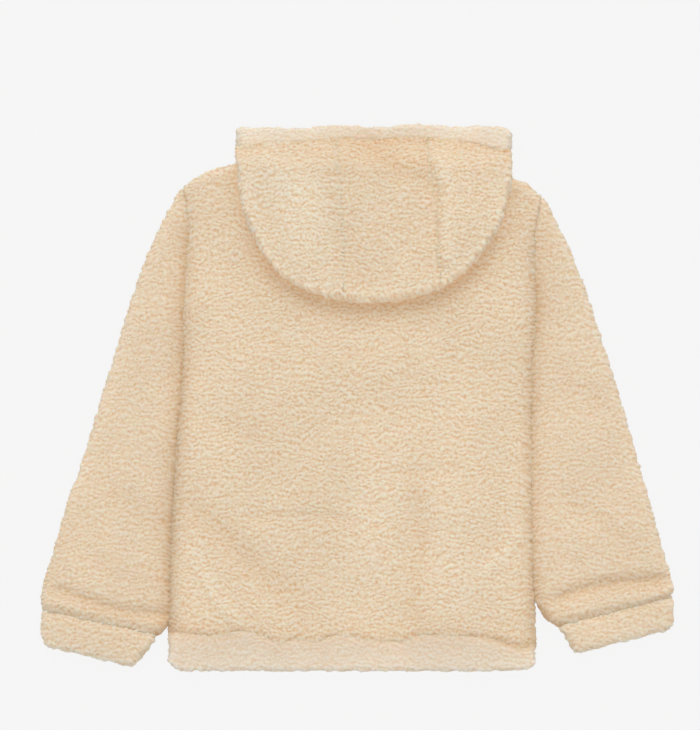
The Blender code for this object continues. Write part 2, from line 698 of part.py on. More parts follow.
def make_hood_centre(stitch_part, finish, home):
    """The hood's centre strip: from the mouth over the crown and back under to the neckline."""
    left, right = path(LEFT_SEAM), path(RIGHT_SEAM)
    neck_left = path([NECK_JOIN_LEFT] + LEFT_SEAM[1:])
    neck_right = path([NECK_JOIN_RIGHT] + RIGHT_SEAM[1:])
    bottom = path(CROWN_CENTRE)
    neck = path([NECK_JOIN_LEFT, NECK_MIDDLE, NECK_JOIN_RIGHT])
    upper = turned(patch(left, right, stitch_part, bottom))
    lower = turned(patch(neck_left, neck_right, neck, bottom))
    inset = SEAM / HOOD_CENTRE_WIDTH
    spans = HOOD_CENTRE_SPANS
    rows = []
    for station in stations(HOOD_CENTRE_WIDTH, NAP_SEAM, NAP_SEAM, HOOD_CENTRE_ROWS):
        shares = (inset + (1 - 2 * inset) * s for s in (station.outer, station.inner))
        inside = Station(next(shares), station.outer_rise, next(shares), station.inner_rise)
        over = run(moved(upper, 0, -HALF_SEAM), inside, HOOD_LAYERS, True, NAP_SEAM, FOLD, spans)
        under = run(moved(lower, 0, -HALF_SEAM), inside, HOOD_LAYERS, False, NAP_SEAM, FOLD, spans)
        rows.append(joined((over, reverse(under))))
    return sheet("hood_centre", rows, finish, home)


def make_hood_band(stitch, finish, home):
    """The band round the mouth: across the top, round both corners and down to the zip."""
    edge = path(MOUTH_EDGE)
    lifted = lowered(stitch, -HALF_SEAM)
    top = ruled(lifted, edge)

    def chin(neckline, corner_seam, corner_edge, start):
        """Plan of the run from a corner to the zip, along the neckline of one front."""
        along = part_of(neckline, start, 1.0)
        first = along(0.0)

        def seam(share):
            share = np.asarray(share, float)
            step = along(np.clip(share + CHIN_STEP, 0, 1)) - along(np.clip(share - CHIN_STEP, 0, 1))
            length = np.hypot(step[..., 0], step[..., 1])[..., None]
            normal = np.stack((-step[..., 1], step[..., 0]), axis=-1) / length
            normal = np.where(normal[..., 1:2] < 0, -normal, normal)
            fade = (1 - share)[..., None] ** CHIN_FADE
            return along(share) + normal * NECK_GAP + fade * (corner_seam - first - normal * NECK_GAP)
        foot = (along(1.0)[0], CHIN_TOP)
        rim = path([tuple(corner_edge), tuple((corner_edge * 0.5 + np.array(foot) * 0.5)), foot])
        return ruled(seam, rim)
    left_neck = path(SHOULDER_LEFT + FRONT_NECK_LEFT)
    right_neck = path((FRONT_NECK_RIGHT + SHOULDER_RIGHT)[::-1])
    left = chin(left_neck, lifted(0.0), edge(0.0), share_at(left_neck, 0, CHIN_LEFT_X))
    right = chin(right_neck, lifted(1.0), edge(1.0), share_at(right_neck, 0, CHIN_RIGHT_X))
    rows = []
    for station in stations(HOOD_BAND_WIDTH, GROOVE, FREE_EDGE, HOOD_BAND_ROWS):
        upper = run(turned(top), station, BAND_LAYERS, True, FOLD, FOLD, HOOD_BAND_SPANS)
        lower_left = run(turned(left), station, BAND_LAYERS, False, FOLD, ZIP_SIDE, CHIN_SPANS)
        lower_right = run(turned(right), station, BAND_LAYERS, False, FOLD, ZIP_SIDE, CHIN_SPANS)
        rows.append(joined((reverse(lower_left), upper, lower_right)))
    return sheet("hood_band", rows, finish, home)


def make_hood(finish, band_finish, home):
    stitch = path(STITCH_LINE)
    turns = share_at(stitch, 0, LEFT_SEAM[0][0]), share_at(stitch, 0, RIGHT_SEAM[0][0])
    left = side_plans(LEFT_SEAM, NECK_JOIN_LEFT, CROWN_LEFT, part_of(stitch, turns[0], 0), -HALF_SEAM)
    right = side_plans(RIGHT_SEAM, NECK_JOIN_RIGHT, CROWN_RIGHT, part_of(stitch, turns[1], 1), HALF_SEAM)
    make_hood_side("hood_side_left", left, finish, home)
    make_hood_side("hood_side_right", right, finish, home)
    make_hood_centre(part_of(stitch, turns[0], turns[1]), finish, home)
    make_hood_band(stitch, band_finish, home)


# ---------------------------------------------------------------- zip

def make_zip(tape_finish, metal, home, cutters):
    """The closed zip: tapes with their chain, the slider at the neck, and its pull on a pin."""
    tape_top = TAPE_BOTTOM + TAPE_THICKNESS
    chain_top = ZIP_TOP - SLIDER_LENGTH - SEAM
    chain = block("zip_chain", (-TAPE_HALF_WIDTH, ZIP_FOOT, TAPE_BOTTOM),
                  (TAPE_HALF_WIDTH, ZIP_TOP - TAPE_TUCK, tape_top), tape_finish, home)
    teeth = block("chain_teeth", (-CHAIN_HALF_WIDTH, ZIP_FOOT + CHAIN_INSET, TAPE_BOTTOM - CHAIN_DEPTH),
                  (CHAIN_HALF_WIDTH, chain_top, TAPE_BOTTOM + TAPE_THICKNESS / 2), tape_finish, home)
    combine(chain, teeth, "UNION", cutters)

    slider = block("zip_slider", (-SLIDER_HALF_WIDTH, ZIP_TOP - SLIDER_LENGTH, SLIDER_FACE),
                   (SLIDER_HALF_WIDTH, ZIP_TOP, TAPE_BOTTOM - SEAM), metal, home)
    bevel = slider.modifiers.new("rounded", "BEVEL")
    bevel.width = SLIDER_BEVEL * MILLIMETRE
    bevel.segments = 2
    for side in (-1, 1):
        lug_x = side * LUG_OFFSET
        lug = rod(f"lug_{side}", (lug_x, HINGE_Y, HINGE_Z), LUG_RADIUS, LUG_THICKNESS, metal, home)
        combine(slider, lug, "UNION", cutters)
        neck = block(f"lug_neck_{side}",
                     (lug_x - LUG_THICKNESS / 2, HINGE_Y - LUG_NECK, HINGE_Z),
                     (lug_x + LUG_THICKNESS / 2, HINGE_Y + LUG_NECK, SLIDER_FACE + LUG_SINK),
                     metal, home)
        combine(slider, neck, "UNION", cutters)
    pin = rod("hinge_pin", (0, HINGE_Y, HINGE_Z), PIN_RADIUS, 2 * LUG_OFFSET, metal, home)
    combine(slider, pin, "UNION", cutters)

    pull = rod("zip_pull", (0, HINGE_Y, HINGE_Z), EYE_RADIUS, EYE_WIDTH, metal, home)
    tongue = block("pull_tongue",
                   (-EYE_WIDTH / 2, HINGE_Y - TONGUE_LENGTH, HINGE_Z - PULL_THICKNESS / 2),
                   (EYE_WIDTH / 2, HINGE_Y, HINGE_Z + PULL_THICKNESS / 2), metal, home)
    tab = block("pull_tab",
                (-PULL_WIDTH / 2, HINGE_Y - PULL_LENGTH, HINGE_Z - PULL_THICKNESS / 2),
                (PULL_WIDTH / 2, HINGE_Y - TAB_START, HINGE_Z + PULL_THICKNESS / 2), metal, home)
    combine(pull, tongue, "UNION", cutters)
    combine(pull, tab, "UNION", cutters)
    hole = rod("pull_hole", (0, HINGE_Y, HINGE_Z), EYE_HOLE, EYE_WIDTH + HOLE_SPARE, metal, home)
    combine(pull, hole, "DIFFERENCE", cutters)


def build():
    fresh_scene()
    jacket = collection("fleece_jacket")
    cutters = collection("cutters")
    fleece = material("fleece", CREAM, 0.95)
    band = material("fleece_band", CREAM_DARK, 0.95)
    tape = material("zip_tape", ZIP_CREAM, 0.6)
    metal = material("zip_metal", METAL, 0.35, 1.0)
    make_back(fleece, jacket)
    make_fronts(fleece, jacket)
    make_sleeve("sleeve_left", SLEEVE_LEFT, BODY_LEFT, -1, fleece, jacket)
    make_sleeve("sleeve_right", SLEEVE_RIGHT, BODY_RIGHT, 1, fleece, jacket)
    make_cuff("cuff_left", CUFF_LEFT, band, jacket)
    make_cuff("cuff_right", CUFF_RIGHT, band, jacket)
    make_hem_band(band, jacket)
    make_hood(fleece, band, jacket)
    make_zip(tape, metal, jacket, cutters)


build()
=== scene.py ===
"""A child's hooded fleece jacket, laid flat on its front with its hood folded down over the back.

Shapes are in millimetres until a mesh is made, which is in metres.  +Z is up, +Y points towards the
hood and +X towards the wearer's right arm.
"""
import math
from collections import namedtuple

import bpy
import numpy as np
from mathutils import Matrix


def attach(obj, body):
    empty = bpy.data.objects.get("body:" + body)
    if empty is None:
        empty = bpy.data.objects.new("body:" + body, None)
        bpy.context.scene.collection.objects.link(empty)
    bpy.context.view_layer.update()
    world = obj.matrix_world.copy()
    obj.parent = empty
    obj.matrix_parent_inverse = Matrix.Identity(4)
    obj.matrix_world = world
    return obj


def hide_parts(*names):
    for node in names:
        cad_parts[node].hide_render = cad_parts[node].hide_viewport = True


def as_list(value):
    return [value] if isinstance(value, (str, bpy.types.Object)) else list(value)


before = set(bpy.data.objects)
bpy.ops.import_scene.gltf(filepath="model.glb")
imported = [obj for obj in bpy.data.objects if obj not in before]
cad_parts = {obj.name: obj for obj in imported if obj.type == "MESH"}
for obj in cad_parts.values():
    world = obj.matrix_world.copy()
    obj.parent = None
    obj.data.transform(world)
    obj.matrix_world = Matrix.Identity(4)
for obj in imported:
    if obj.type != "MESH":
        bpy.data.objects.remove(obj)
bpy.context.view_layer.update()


# ---- Back panel.  One piece of cream sherpa fleece from the shoulders to the hem seam, with two
# armholes.  It is lofted between its top edge, its two sides and the hem seam as a wall of knit and
# pile: the outer face is fine, the lining that never shows is coarse.  Its sides roll into the seams.

MILLIMETRE = 0.001
WALL = 7.0  # knit and pile together
SEAM = 0.3  # between two pieces that are sewn to each other
HALF_SEAM = SEAM / 2
FLAT_HEIGHT = 16.4  # of two walls that lie on each other
LEAST_CLOTH = 0.9  # where a wall is squeezed in a roll
ROLL_ANGLES = np.radians(np.arange(0, 90, 10))
ROLL_ROOM = 0.42  # a roll takes no more of a row's length than this
ROLL_WALL = 0.85  # and a wall in a roll no more of its radius
FINE = 1.45  # between points on the faces that show
COARSE = 4.0  # on the faces that lie on the surface
LINING_STEP = 5  # the lining keeps every fifth point
ROW_SAMPLES = 9  # for a row's length
CURVE_SAMPLES = 2001  # for the place on a curve

# How a wall ends: its roll's radius, how far that sinks and closes, how much painted shade the pile has
# there (under 0 it is painted light, as at a free edge) and how far the pile leans out over it
Edge = namedtuple("Edge", "radius depth closing shade push")
SHADE_WIDTH = 13.0  # how far a seam's painted shade reaches on the pile, softly and in a line
SHADE_LINE = 3.5
SOFT_SHADE = 0.55  # the soft part's share
PUSH_WIDTH = 10.0
SIDE_ROLL = 8.0
GROOVE = Edge(7.0, 0.4, 0.0, 0.3, 0.7)
ZIP_SIDE = Edge(4.0, 0.5, 0.0, 0.0, 0.0)
ROLLED = Edge(SIDE_ROLL, 1.0, 1.0, -0.1, 0.25)

BODY_LEFT = [(-178.5, 219.5), (-176.4, 192), (-179.6, 145), (-182.4, 93), (-183, 41),
             (-185, 2), (-190, -55), (-195, -133), (-197, -212), (-195.5, -247)]
BODY_RIGHT = [(190, 210), (186, 185), (184, 160), (185, 138), (188, 103), (186, 61),
              (183, 24), (183, -55), (184, -160), (185, -212), (185, -257)]
SHOULDER_LEFT = [(-178.5, 219.5), (-168, 229), (-152, 237), (-134, 242.6), (-64, 258)]
SHOULDER_RIGHT = [(98, 258), (130, 243), (159, 229.5), (175, 224.5), (190, 210)]
BACK_NECK = [(-28, 249), (17, 245), (62, 249)]
HEM_SEAM_BACK = [(-195.5, -247), (-145, -248), (-119, -242.5), (-97, -249), (-78, -256), (-63, -251),
                 (-45, -254), (-18, -247), (18, -253), (42, -254), (70, -247), (135, -250),
                 (150, -255), (171, -263), (185, -257)]
BODY_LENGTH = 480.0
BODY_WIDTH = 370.0
FLAT_WIDTH = BODY_WIDTH - 2 * SIDE_ROLL
UNDERARM = 30.0
CLOSING_START = UNDERARM + 12  # the side closes between the armhole's foot and the side seam
CLOSING_LENGTH = 30.0
BODY_ROLL = 18.0
BODY_PUSH = 0.6
# painted shade along the body's sides, fading out up the armholes
BODY_SHADES = [(130, 0.45), (210, 0.05)]
NECK_FADE = 0.06  # at the neck the shoulders' roll opens over this share of the width
NECK_OPEN = 0.7  # and by this much
# How deep the side rolls at each height: a crease at the armhole, a full roll under it
CREASE_ROWS = [(-260, 1.0), (UNDERARM - 22, 1.0), (UNDERARM + 10, 0.62), (93, 0.5), (145, 0.36),
               (185, 0.15), (220, 0.05)]

# Each fold: the two points it runs between, its rise (under 0 it is a trough) and its width
BACK_FOLDS = [
    (-158, -132, -78, -200, -2.6, 15),
    (64, -110, 64, -220, -2.0, 11),
    (28, -95, 18, -130, 1.2, 26),
    (98, -140, 96, -170, 1.2, 22),
    (52, -75, 98, -79, -1.1, 8),
    (160, -146, 128, -198, 1.5, 8),
    (-100, -122, -12, -129, -1.3, 7),
    (-133, -34, -118, -38, -0.9, 13),
    (-174, -170, -122, -236, 1.6, 8),
    (-196, -247, -172, -249, -2.0, 5),
    (142, -253, 186, -258, -2.4, 5),
]
FOLD_SWAY = 3.5  # folds wander this far, over these lengths down and across the jacket
SWAY_LENGTHS = (19.0, 23.0)
FOLD_FADE = 2.0  # they die out over this many of their widths


def smooth(at, knots, values):
    """A cubic through the knots that never swings past them: a turning point has no slope."""
    knots = np.asarray(knots, float)
    values = np.asarray(values, float)
    grades = np.diff(values) / np.diff(knots)
    before, after = grades[:-1], grades[1:]
    same_way = before * after > 0
    total = np.where(same_way, before + after, 1.0)
    slopes = np.concatenate((grades[:1], np.where(same_way, 2 * before * after / total, 0), grades[-1:]))
    at = np.clip(at, knots[0], knots[-1])
    i = np.clip(np.searchsorted(knots, at) - 1, 0, len(knots) - 2)
    span = knots[i + 1] - knots[i]
    t = (at - knots[i]) / span
    rise = values[i] * (1 + 2 * t) * (1 - t) ** 2 + values[i + 1] * t ** 2 * (3 - 2 * t)
    return rise + span * t * (1 - t) * (slopes[i] * (1 - t) - slopes[i + 1] * t)


def path(points):
    """A smooth plan curve through the points, as a function of the share of its length."""
    points = np.asarray(points, float)
    steps = np.hypot(*np.diff(points, axis=0).T)
    shares = np.concatenate(([0], np.cumsum(steps))) / steps.sum()

    def at(share):
        return np.stack([smooth(share, shares, points[:, k]) for k in (0, 1)], axis=-1)
    return at


def share_at(curve, axis, value):
    """The share of a curve's length at which one of its coordinates has a value."""
    shares = np.linspace(0, 1, CURVE_SAMPLES)
    return float(shares[np.argmin(abs(curve(shares)[:, axis] - value))])


def patch(left, right, top, bottom):
    """A surface inside four curves: u runs from left to right, v from top to bottom."""
    def at(u, v):
        u = np.asarray(u, float)
        v = np.asarray(v, float)
        a, b = u[..., None], v[..., None]
        sides = left(v) * (1 - a) + right(v) * a
        ends = top(u) * (1 - b) + bottom(u) * b
        corners = ((left(0.0) * (1 - a) + right(0.0) * a) * (1 - b)
                   + (left(1.0) * (1 - a) + right(1.0) * a) * b)
        return sides + ends - corners
    return at


def folds_at(points, folds):
    """How far the folds raise or lower the cloth: soft troughs and ridges that fade at their ends."""
    total = np.zeros(points.shape[:-1])
    points = points + np.sin(points[..., ::-1] / SWAY_LENGTHS) * FOLD_SWAY
    for x1, y1, x2, y2, rise, width in folds:
        start = np.array((x1, y1), float)
        course = np.array((x2, y2), float) - start
        length = np.hypot(*course)
        along = (points - start) @ course / length
        beside = (points - start) @ np.array((-course[1], course[0])) / length
        past = np.maximum(0, np.maximum(-along, along - length)) / FOLD_FADE
        total += rise * np.exp(-(beside / width) ** 2 - (past / width) ** 2)
    return total


def level(height):
    """A face at one height everywhere."""
    return lambda points: np.full(points.shape[:-1], float(height))


def folded(height, folds):
    """The same face with folds in it."""
    return lambda points: height(points) + folds_at(points, folds)


# The heights of a layer's lower and upper faces, as they show and without their folds, the height at
# which the two layers part, and the wall
Layers = namedtuple("Layers", "low high floor ceiling middle wall")
BACK_LAYERS = Layers(level(0), folded(level(FLAT_HEIGHT), BACK_FOLDS), level(0), level(FLAT_HEIGHT),
                     level(FLAT_HEIGHT / 2), WALL)
# A row's share of the sheet's length on its outer and inner face, and how far each has risen there
Station = namedtuple("Station", "outer outer_rise inner inner_rise shade push")


def spans(length, spacing):
    """How many spans of about this size a length takes."""
    return int(round(length / spacing))


FOLD_SHADE = 0.08  # painted shade in a trough and painted light on a ridge, for each millimetre


def seam_shade(distance):
    """Painted shade on the pile towards a seam: soft, then in a thin line."""
    line = np.exp(-(distance / SHADE_LINE) ** 2)
    return SOFT_SHADE * np.exp(-(distance / SHADE_WIDTH) ** 2) + (1 - SOFT_SHADE) * line


def columns(length, start, end, count):
    """Distances and rises of a run's columns, outer and inner, then the pile's painted shade and push."""
    room = ROLL_ROOM * length
    sine = np.sin(ROLL_ANGLES)
    reach = 1 - np.cos(ROLL_ANGLES)
    radii, outer, inner, outer_rise, inner_rise = [], [], [], [], []
    for edge in (start, end):
        radius = min(edge.radius, room)
        squeezed = min(WALL, ROLL_WALL * radius) * edge.closing
        radii.append(radius)
        outer.append(radius * reach)
        inner.append(squeezed + (radius - squeezed) * reach)
        outer_rise.append(1 - edge.depth * (1 - sine))
        inner_rise.append(1 - edge.closing * (1 - sine))
    middle = np.linspace(radii[0], length - radii[1], count + 1)
    ones = np.ones(count + 1)
    outer = np.concatenate((outer[0], middle, length - outer[1][::-1]))
    shade = start.shade * seam_shade(outer) + end.shade * seam_shade(length - outer)
    push = (start.push * np.exp(-(outer / PUSH_WIDTH) ** 2)
            + end.push * np.exp(-((length - outer) / PUSH_WIDTH) ** 2))
    return (outer, np.concatenate((outer_rise[0], ones, outer_rise[1][::-1])),
            np.concatenate((inner[0], middle, length - inner[1][::-1])),
            np.concatenate((inner_rise[0], ones, inner_rise[1][::-1])), shade, push)


def stations(length, start, end, count):
    """The rows of a sheet, as shares of its length with their rises."""
    outer, outer_rise, inner, inner_rise, *pile = columns(length, start, end, count)
    return [Station(*row) for row in zip(outer / length, outer_rise, inner / length, inner_rise, *pile)]


def run(plan, station, layers, upper, start, end, count, closing_along=None):
    """One row of a layer's outer face, with its painted shade and push, and the row under it inside."""
    samples = plan(np.linspace(0, 1, ROW_SAMPLES), np.full(ROW_SAMPLES, station.outer))
    length = np.hypot(*np.diff(samples, axis=0).T).sum()
    out_at, out_rise, in_at, in_rise, shade, push = columns(length, start, end, count)
    out_u, in_u = out_at / length, in_at / length
    share = np.ones(len(in_u)) if closing_along is None else closing_along(in_u)
    in_v = station.outer + share * (station.inner - station.outer)
    in_rise_along = 1 - share * (1 - station.inner_rise)
    outer = plan(out_u, np.full(len(out_u), station.outer))
    inner = plan(in_u, in_v)
    side = 1 if upper else -1
    shown, plain = (layers.high, layers.ceiling) if upper else (layers.low, layers.floor)
    # painted shade in the folds' troughs and painted light on their ridges
    shade = shade + side * (plain(outer) - shown(outer)) * FOLD_SHADE
    out_base = layers.middle(outer) + side * HALF_SEAM
    in_base = layers.middle(inner) + side * HALF_SEAM
    lining = side * np.maximum(side * (plain(inner) - in_base) - layers.wall, LEAST_CLOTH)
    outer_z = out_base + (shown(outer) - out_base) * np.minimum(out_rise, station.outer_rise)
    inner_z = in_base + lining * np.minimum(in_rise, in_rise_along)
    pile = np.clip(shade + station.shade, -1, 1), np.clip(push + station.push, 0, 1)
    return np.column_stack((outer, outer_z, *pile)), np.column_stack((inner, inner_z))


def kept(count):
    """Which points of a fine row the lining keeps: the first, the last and every fifth or so."""
    return np.unique(np.linspace(0, count - 1, max(count // LINING_STEP, 2) + 1).astype(int))


def grid_faces(deep, wide, first, turn):
    """The faces of a grid of points, numbered row by row from first."""
    corner = (first + np.arange(deep - 1)[:, None] * wide + np.arange(wide - 1)[None, :]).ravel()
    quads = np.stack((corner, corner + 1, corner + wide + 1, corner + wide), axis=1)
    return (quads[:, ::-1] if turn else quads).tolist()


def rim_faces(fine, coarse):
    """Faces from the border of the outer face to the coarser border of the lining under it."""
    faces = []
    rows, wide_columns = kept(fine.shape[0]), kept(fine.shape[1])
    for fine_side, coarse_side, marks in (
            (fine[0], coarse[0], wide_columns),
            (fine[:, -1], coarse[:, -1], rows),
            (fine[-1][::-1], coarse[-1][::-1], fine.shape[1] - 1 - wide_columns[::-1]),
            (fine[::-1, 0], coarse[::-1, 0], fine.shape[0] - 1 - rows[::-1])):
        for k in range(len(marks) - 1):
            stretch = fine_side[marks[k]:marks[k + 1] + 1][::-1].tolist()
            faces.append(stretch + [int(coarse_side[k]), int(coarse_side[k + 1])])
    return faces


def wall_mesh(name, rows, pile_length):
    """A closed wall of cloth from its rows, with what its pile needs to know at each point."""
    outer = np.array([row[0] for row in rows])
    shade, push = outer[..., 3].ravel(), outer[..., 4].ravel()
    outer = outer[..., :3]
    inner = np.array([row[1] for row in rows])
    deep, wide = outer.shape[:2]
    lining = inner[np.ix_(kept(deep), kept(wide))]
    points = np.vstack((outer.reshape(-1, 3), lining.reshape(-1, 3))) * MILLIMETRE
    fine = np.arange(deep * wide).reshape(deep, wide)
    coarse = deep * wide + np.arange(lining[..., 0].size).reshape(lining.shape[:2])
    faces = (grid_faces(deep, wide, 0, False) + grid_faces(*lining.shape[:2], deep * wide, True)
             + rim_faces(fine, coarse))
    i, j = deep // 2, wide // 2
    over, along = outer[i, j + 1] - outer[i, j], outer[i + 1, j] - outer[i, j]
    if np.dot(np.cross(over, along), outer[i, j] - inner[i, j]) < 0:
        faces = [face[::-1] for face in faces]
    mesh = bpy.data.meshes.new(name)
    mesh.from_pydata(points, [], faces)
    mesh.shade_smooth()
    rest = mesh.attributes.new("rest", "FLOAT_VECTOR", "POINT")
    rest.data.foreach_set("vector", points.astype(np.float32).ravel())
    for label, values in (("pile_length", pile_length), ("shade", shade), ("push", push)):
        at_points = np.zeros(len(points), np.float32)
        at_points[:deep * wide] = values
        mesh.attributes.new(label, "FLOAT", "POINT").data.foreach_set("value", at_points)
    return mesh


def has_parts(value):
    """Whether a value or a field is a vector or a colour, not a number."""
    if isinstance(value, Field):
        return value.socket.type in ("VECTOR", "RGBA")
    return hasattr(value, "__len__")


class Field:
    """A socket of a node tree that can be calculated with."""

    def __init__(self, tree, socket):
        self.tree = tree
        self.socket = socket

    def node(self, kind, inputs, output=0, **settings):
        """Any other node: its type, what goes into its inputs, the output that is used, its settings."""
        made = self.tree.nodes.new(kind)
        for name, value in settings.items():
            setattr(made, name, value)
        for name, value in inputs.items():
            if isinstance(value, Field):
                self.tree.links.new(value.socket, made.inputs[name])
            elif made.inputs[name].type == "VECTOR" and not has_parts(value):
                made.inputs[name].default_value = (value,) * 3
            else:
                made.inputs[name].default_value = value
        return Field(self.tree, made.outputs[output])

    def math(self, operation, *terms):
        """An operation on numbers or, if any of them has parts, on vectors."""
        kind = "ShaderNodeVectorMath" if any(map(has_parts, terms)) else "ShaderNodeMath"
        return self.node(kind, dict(enumerate(terms)), operation=operation)

    def __add__(self, other):
        return self.math("ADD", self, other)

    def __sub__(self, other):
        return self.math("SUBTRACT", self, other)

    def __mul__(self, other):
        return self.math("MULTIPLY", self, other)

    def __truediv__(self, other):
        return self.math("DIVIDE", self, other)

    def __rsub__(self, other):
        return self.math("SUBTRACT", other, self)

    def __rtruediv__(self, other):
        return self.math("DIVIDE", other, self)

    __radd__ = __add__
    __rmul__ = __mul__

    def ranged(self, low, high, start=0.0, end=1.0):
        """From start at low to end at high, with a soft step between them."""
        return self.node("ShaderNodeMapRange", {0: self, 1: low, 2: high, 3: start, 4: end},
                         interpolation_type="SMOOTHSTEP")

    def scaled(self, vector):
        """A vector times this number."""
        return self.node("ShaderNodeVectorMath", {0: vector, "Scale": self}, operation="SCALE")

    def noise(self, size, detail=1.0, output="Fac"):
        """Soft noise with patches of about this size, in millimetres."""
        return self.node("ShaderNodeTexNoise", {"Vector": self / size, "Scale": 1.0, "Detail": detail},
                         output)

    def towards(self, other, share):
        """This colour mixed with another."""
        return self.node("ShaderNodeMix", {0: share, 6: self, 7: other}, 2, data_type="RGBA")


NUB = (4.9, 5.1, 1.0)  # the pile's nubs, across and down the jacket
NUB_RELIEF = 0.4
ROW = (5.4, 5.5, 1.0)  # the wavy rows they lie in
ROW_RELIEF = 0.55
ROW_BASE = 0.5
IN_ROWS = 0.85  # how much the rows keep to one direction
CRUMB = (3.0, 2.3, 2.3)  # and the crumbs of fibre that break them up
CRUMB_RANGE = (0.3, 0.7)
CRUMB_RELIEF = 0.3
PILE_BASE = -0.25
DRIFT = 26.0  # over patches of this size the nubs and rows wander this far
DRIFT_REACH = 10.0
LEAN = (0.6, -0.45, 0.0)  # so that the nubs go on down the sides
PILE_MEAN = 0.5  # the height of the pile that lies on the wall's face
SIDE_RELIEF = 2.2  # the pile is longer on the sides
RIM_PUSH = 0.9  # and leans out there by this much
FACING_DOWN = (-0.6, -0.1)  # where it only sinks, for the jacket lies on it
LOWEST = (-10.0, -10.0, 0.0)  # no point goes under the surface
CLUMP = 9.0
CLUMP_RANGE = (0.35, 0.65)
CLUMP_RELIEF = 1.6  # how far clumps of pile stand out of a rolled edge


def waves(spot, in_rows):
    """Ridges and furrows of one width, from 0 to 1, that lie more or less in rows."""
    values = {"Vector": spot, "Scale": 1.0, "Frequency": 1.0, "Anisotropy": in_rows,
              "Orientation": math.pi / 2}
    phase = spot.node("ShaderNodeTexGabor", values, "Phase", gabor_type="2D")
    return phase.math("SINE", phase * (2 * math.pi)) * 0.5 + 0.5


def pile_height(rest):
    """Height of the pile over the knit, from 0 in the crevices between nubs to 1 on their tops."""
    place = rest * 1000
    drift = (place.noise(DRIFT, 1.0, "Color") - 0.5) * DRIFT_REACH
    up = place.node("ShaderNodeSeparateXYZ", {0: place}, "Z")
    spot = place + up * LEAN + drift
    nubs = waves(spot / NUB, 0.0) * NUB_RELIEF + (1 - NUB_RELIEF)
    rows = waves(spot / ROW, IN_ROWS) * ROW_RELIEF + ROW_BASE
    crumbs = place.noise(CRUMB, 0.0).ranged(*CRUMB_RANGE) * CRUMB_RELIEF
    return nubs * rows + PILE_BASE + crumbs


def pile_tree():
    """Geometry nodes that push each point out to the height of the pile there, and never under 0."""
    tree = bpy.data.node_groups.new("raise_pile", "GeometryNodeTree")
    tree.interface.new_socket("Geometry", in_out="INPUT", socket_type="NodeSocketGeometry")
    tree.interface.new_socket("Geometry", in_out="OUTPUT", socket_type="NodeSocketGeometry")
    start = Field(tree, tree.nodes.new("NodeGroupInput").outputs[0])
    rest = start.node("GeometryNodeInputPosition", {})
    normal = start.node("GeometryNodeInputNormal", {})
    length, push = (start.node("GeometryNodeInputNamedAttribute", {"Name": name}, "Attribute",
                               data_type="FLOAT") for name in ("pile_length", "push"))
    up = normal.node("ShaderNodeSeparateXYZ", {0: normal}, "Z")
    sideways = 1 - up * up
    mean = up.ranged(*FACING_DOWN, 1.0, PILE_MEAN) - sideways * push * RIM_PUSH
    raised = (pile_height(rest) - mean) * length * (sideways * (SIDE_RELIEF - 1) + 1)
    clump = (rest * 1000).noise(CLUMP).ranged(*CLUMP_RANGE) * sideways * CLUMP_RELIEF
    moved_to = rest + ((raised + clump) * MILLIMETRE).scaled(normal)
    above = rest.math("MAXIMUM", moved_to, LOWEST)
    grown = start.node("GeometryNodeSetPosition", {"Geometry": start, "Position": above})
    out = tree.nodes.new("NodeGroupOutput")
    tree.links.new(grown.socket, out.inputs[0])
    return tree


RAISE_PILE = pile_tree()


def material(name):
    """A new material with its shader, and the field of each point's place at rest."""
    made = bpy.data.materials.new(name)
    made.use_nodes = True
    shader = made.node_tree.nodes["Principled BSDF"]
    start = Field(made.node_tree, None)
    return made, shader, start.node("ShaderNodeAttribute", {}, "Vector", attribute_name="rest")


def feed(shader, name, field):
    """A field led into one of the shader's sockets."""
    field.tree.links.new(field.socket, shader.inputs[name])


def set_shader(shader, values):
    """Values for the shader's own sockets."""
    for name, value in values.items():
        shader.inputs[name].default_value = value


GLOW = (0.19, 0.13, 0.08)  # painted light: a warm glow on the pile under the hood's edge, where light would come through it
SHADE_LOSS = (0.13, 0.30, 0.46)  # what painted shade takes off the pile's colour, as in a crease
NUB_HEIGHTS = (0.05, 0.5)  # from the crevice's colour to the nub's
TIP_HEIGHTS = (0.45, 0.95)  # and on to the tip's
PATCH = 70.0  # the cloth is a little darker and paler in broad patches
PATCH_RANGE = (0.35, 0.7)
PATCH_TONES = (0.975, 1.02)
FIBRE = 0.9
FIBRE_RELIEF = 0.3
FIBRE_LENGTH = 0.001
# the emission here only shows the painted glow
SOFT_CLOTH = {"Roughness": 0.9, "Specular IOR Level": 0.15, "Emission Strength": 1.0,
              "Subsurface Weight": 0.4, "Subsurface Radius": (1.0, 0.5, 0.25), "Subsurface Scale": 0.004,
              "Sheen Weight": 0.12, "Sheen Tint": (1.0, 0.86, 0.70, 1), "Sheen Roughness": 0.55}


def sherpa(name, crevice, nub, tip):
    """Sherpa fleece: tan in the crevices, painted shade between the nubs, cream on the nubs, a little
    paler on their tips.
    """
    made, shader, rest = material(name)
    made.cycles.emission_sampling = "NONE"
    height = pile_height(rest)
    place = rest * 1000
    colour = place.node("ShaderNodeRGB", {})
    colour.socket.default_value = crevice
    colour = colour.towards(nub, height.ranged(*NUB_HEIGHTS))
    colour = colour.towards(tip, height.ranged(*TIP_HEIGHTS))
    patches = place.noise(PATCH, 2.0).ranged(*PATCH_RANGE, *PATCH_TONES)
    # painted shade from seams, folds and the hood (under 0, painted light), painted grey shade, and a
    # painted glow
    shade, gloom, glow = (rest.node("ShaderNodeAttribute", {}, "Fac", attribute_name=label)
                          for label in ("shade", "gloom", "glow"))
    dim = (1, 1, 1) - shade.scaled(SHADE_LOSS)
    feed(shader, "Base Color", colour * patches * dim * (1 - gloom))
    feed(shader, "Emission Color", glow.scaled(GLOW))
    relief = {"Height": place.noise(FIBRE, 2.0), "Strength": FIBRE_RELIEF, "Distance": FIBRE_LENGTH}
    feed(shader, "Normal", place.node("ShaderNodeBump", relief))
    set_shader(shader, SOFT_CLOTH)
    return made


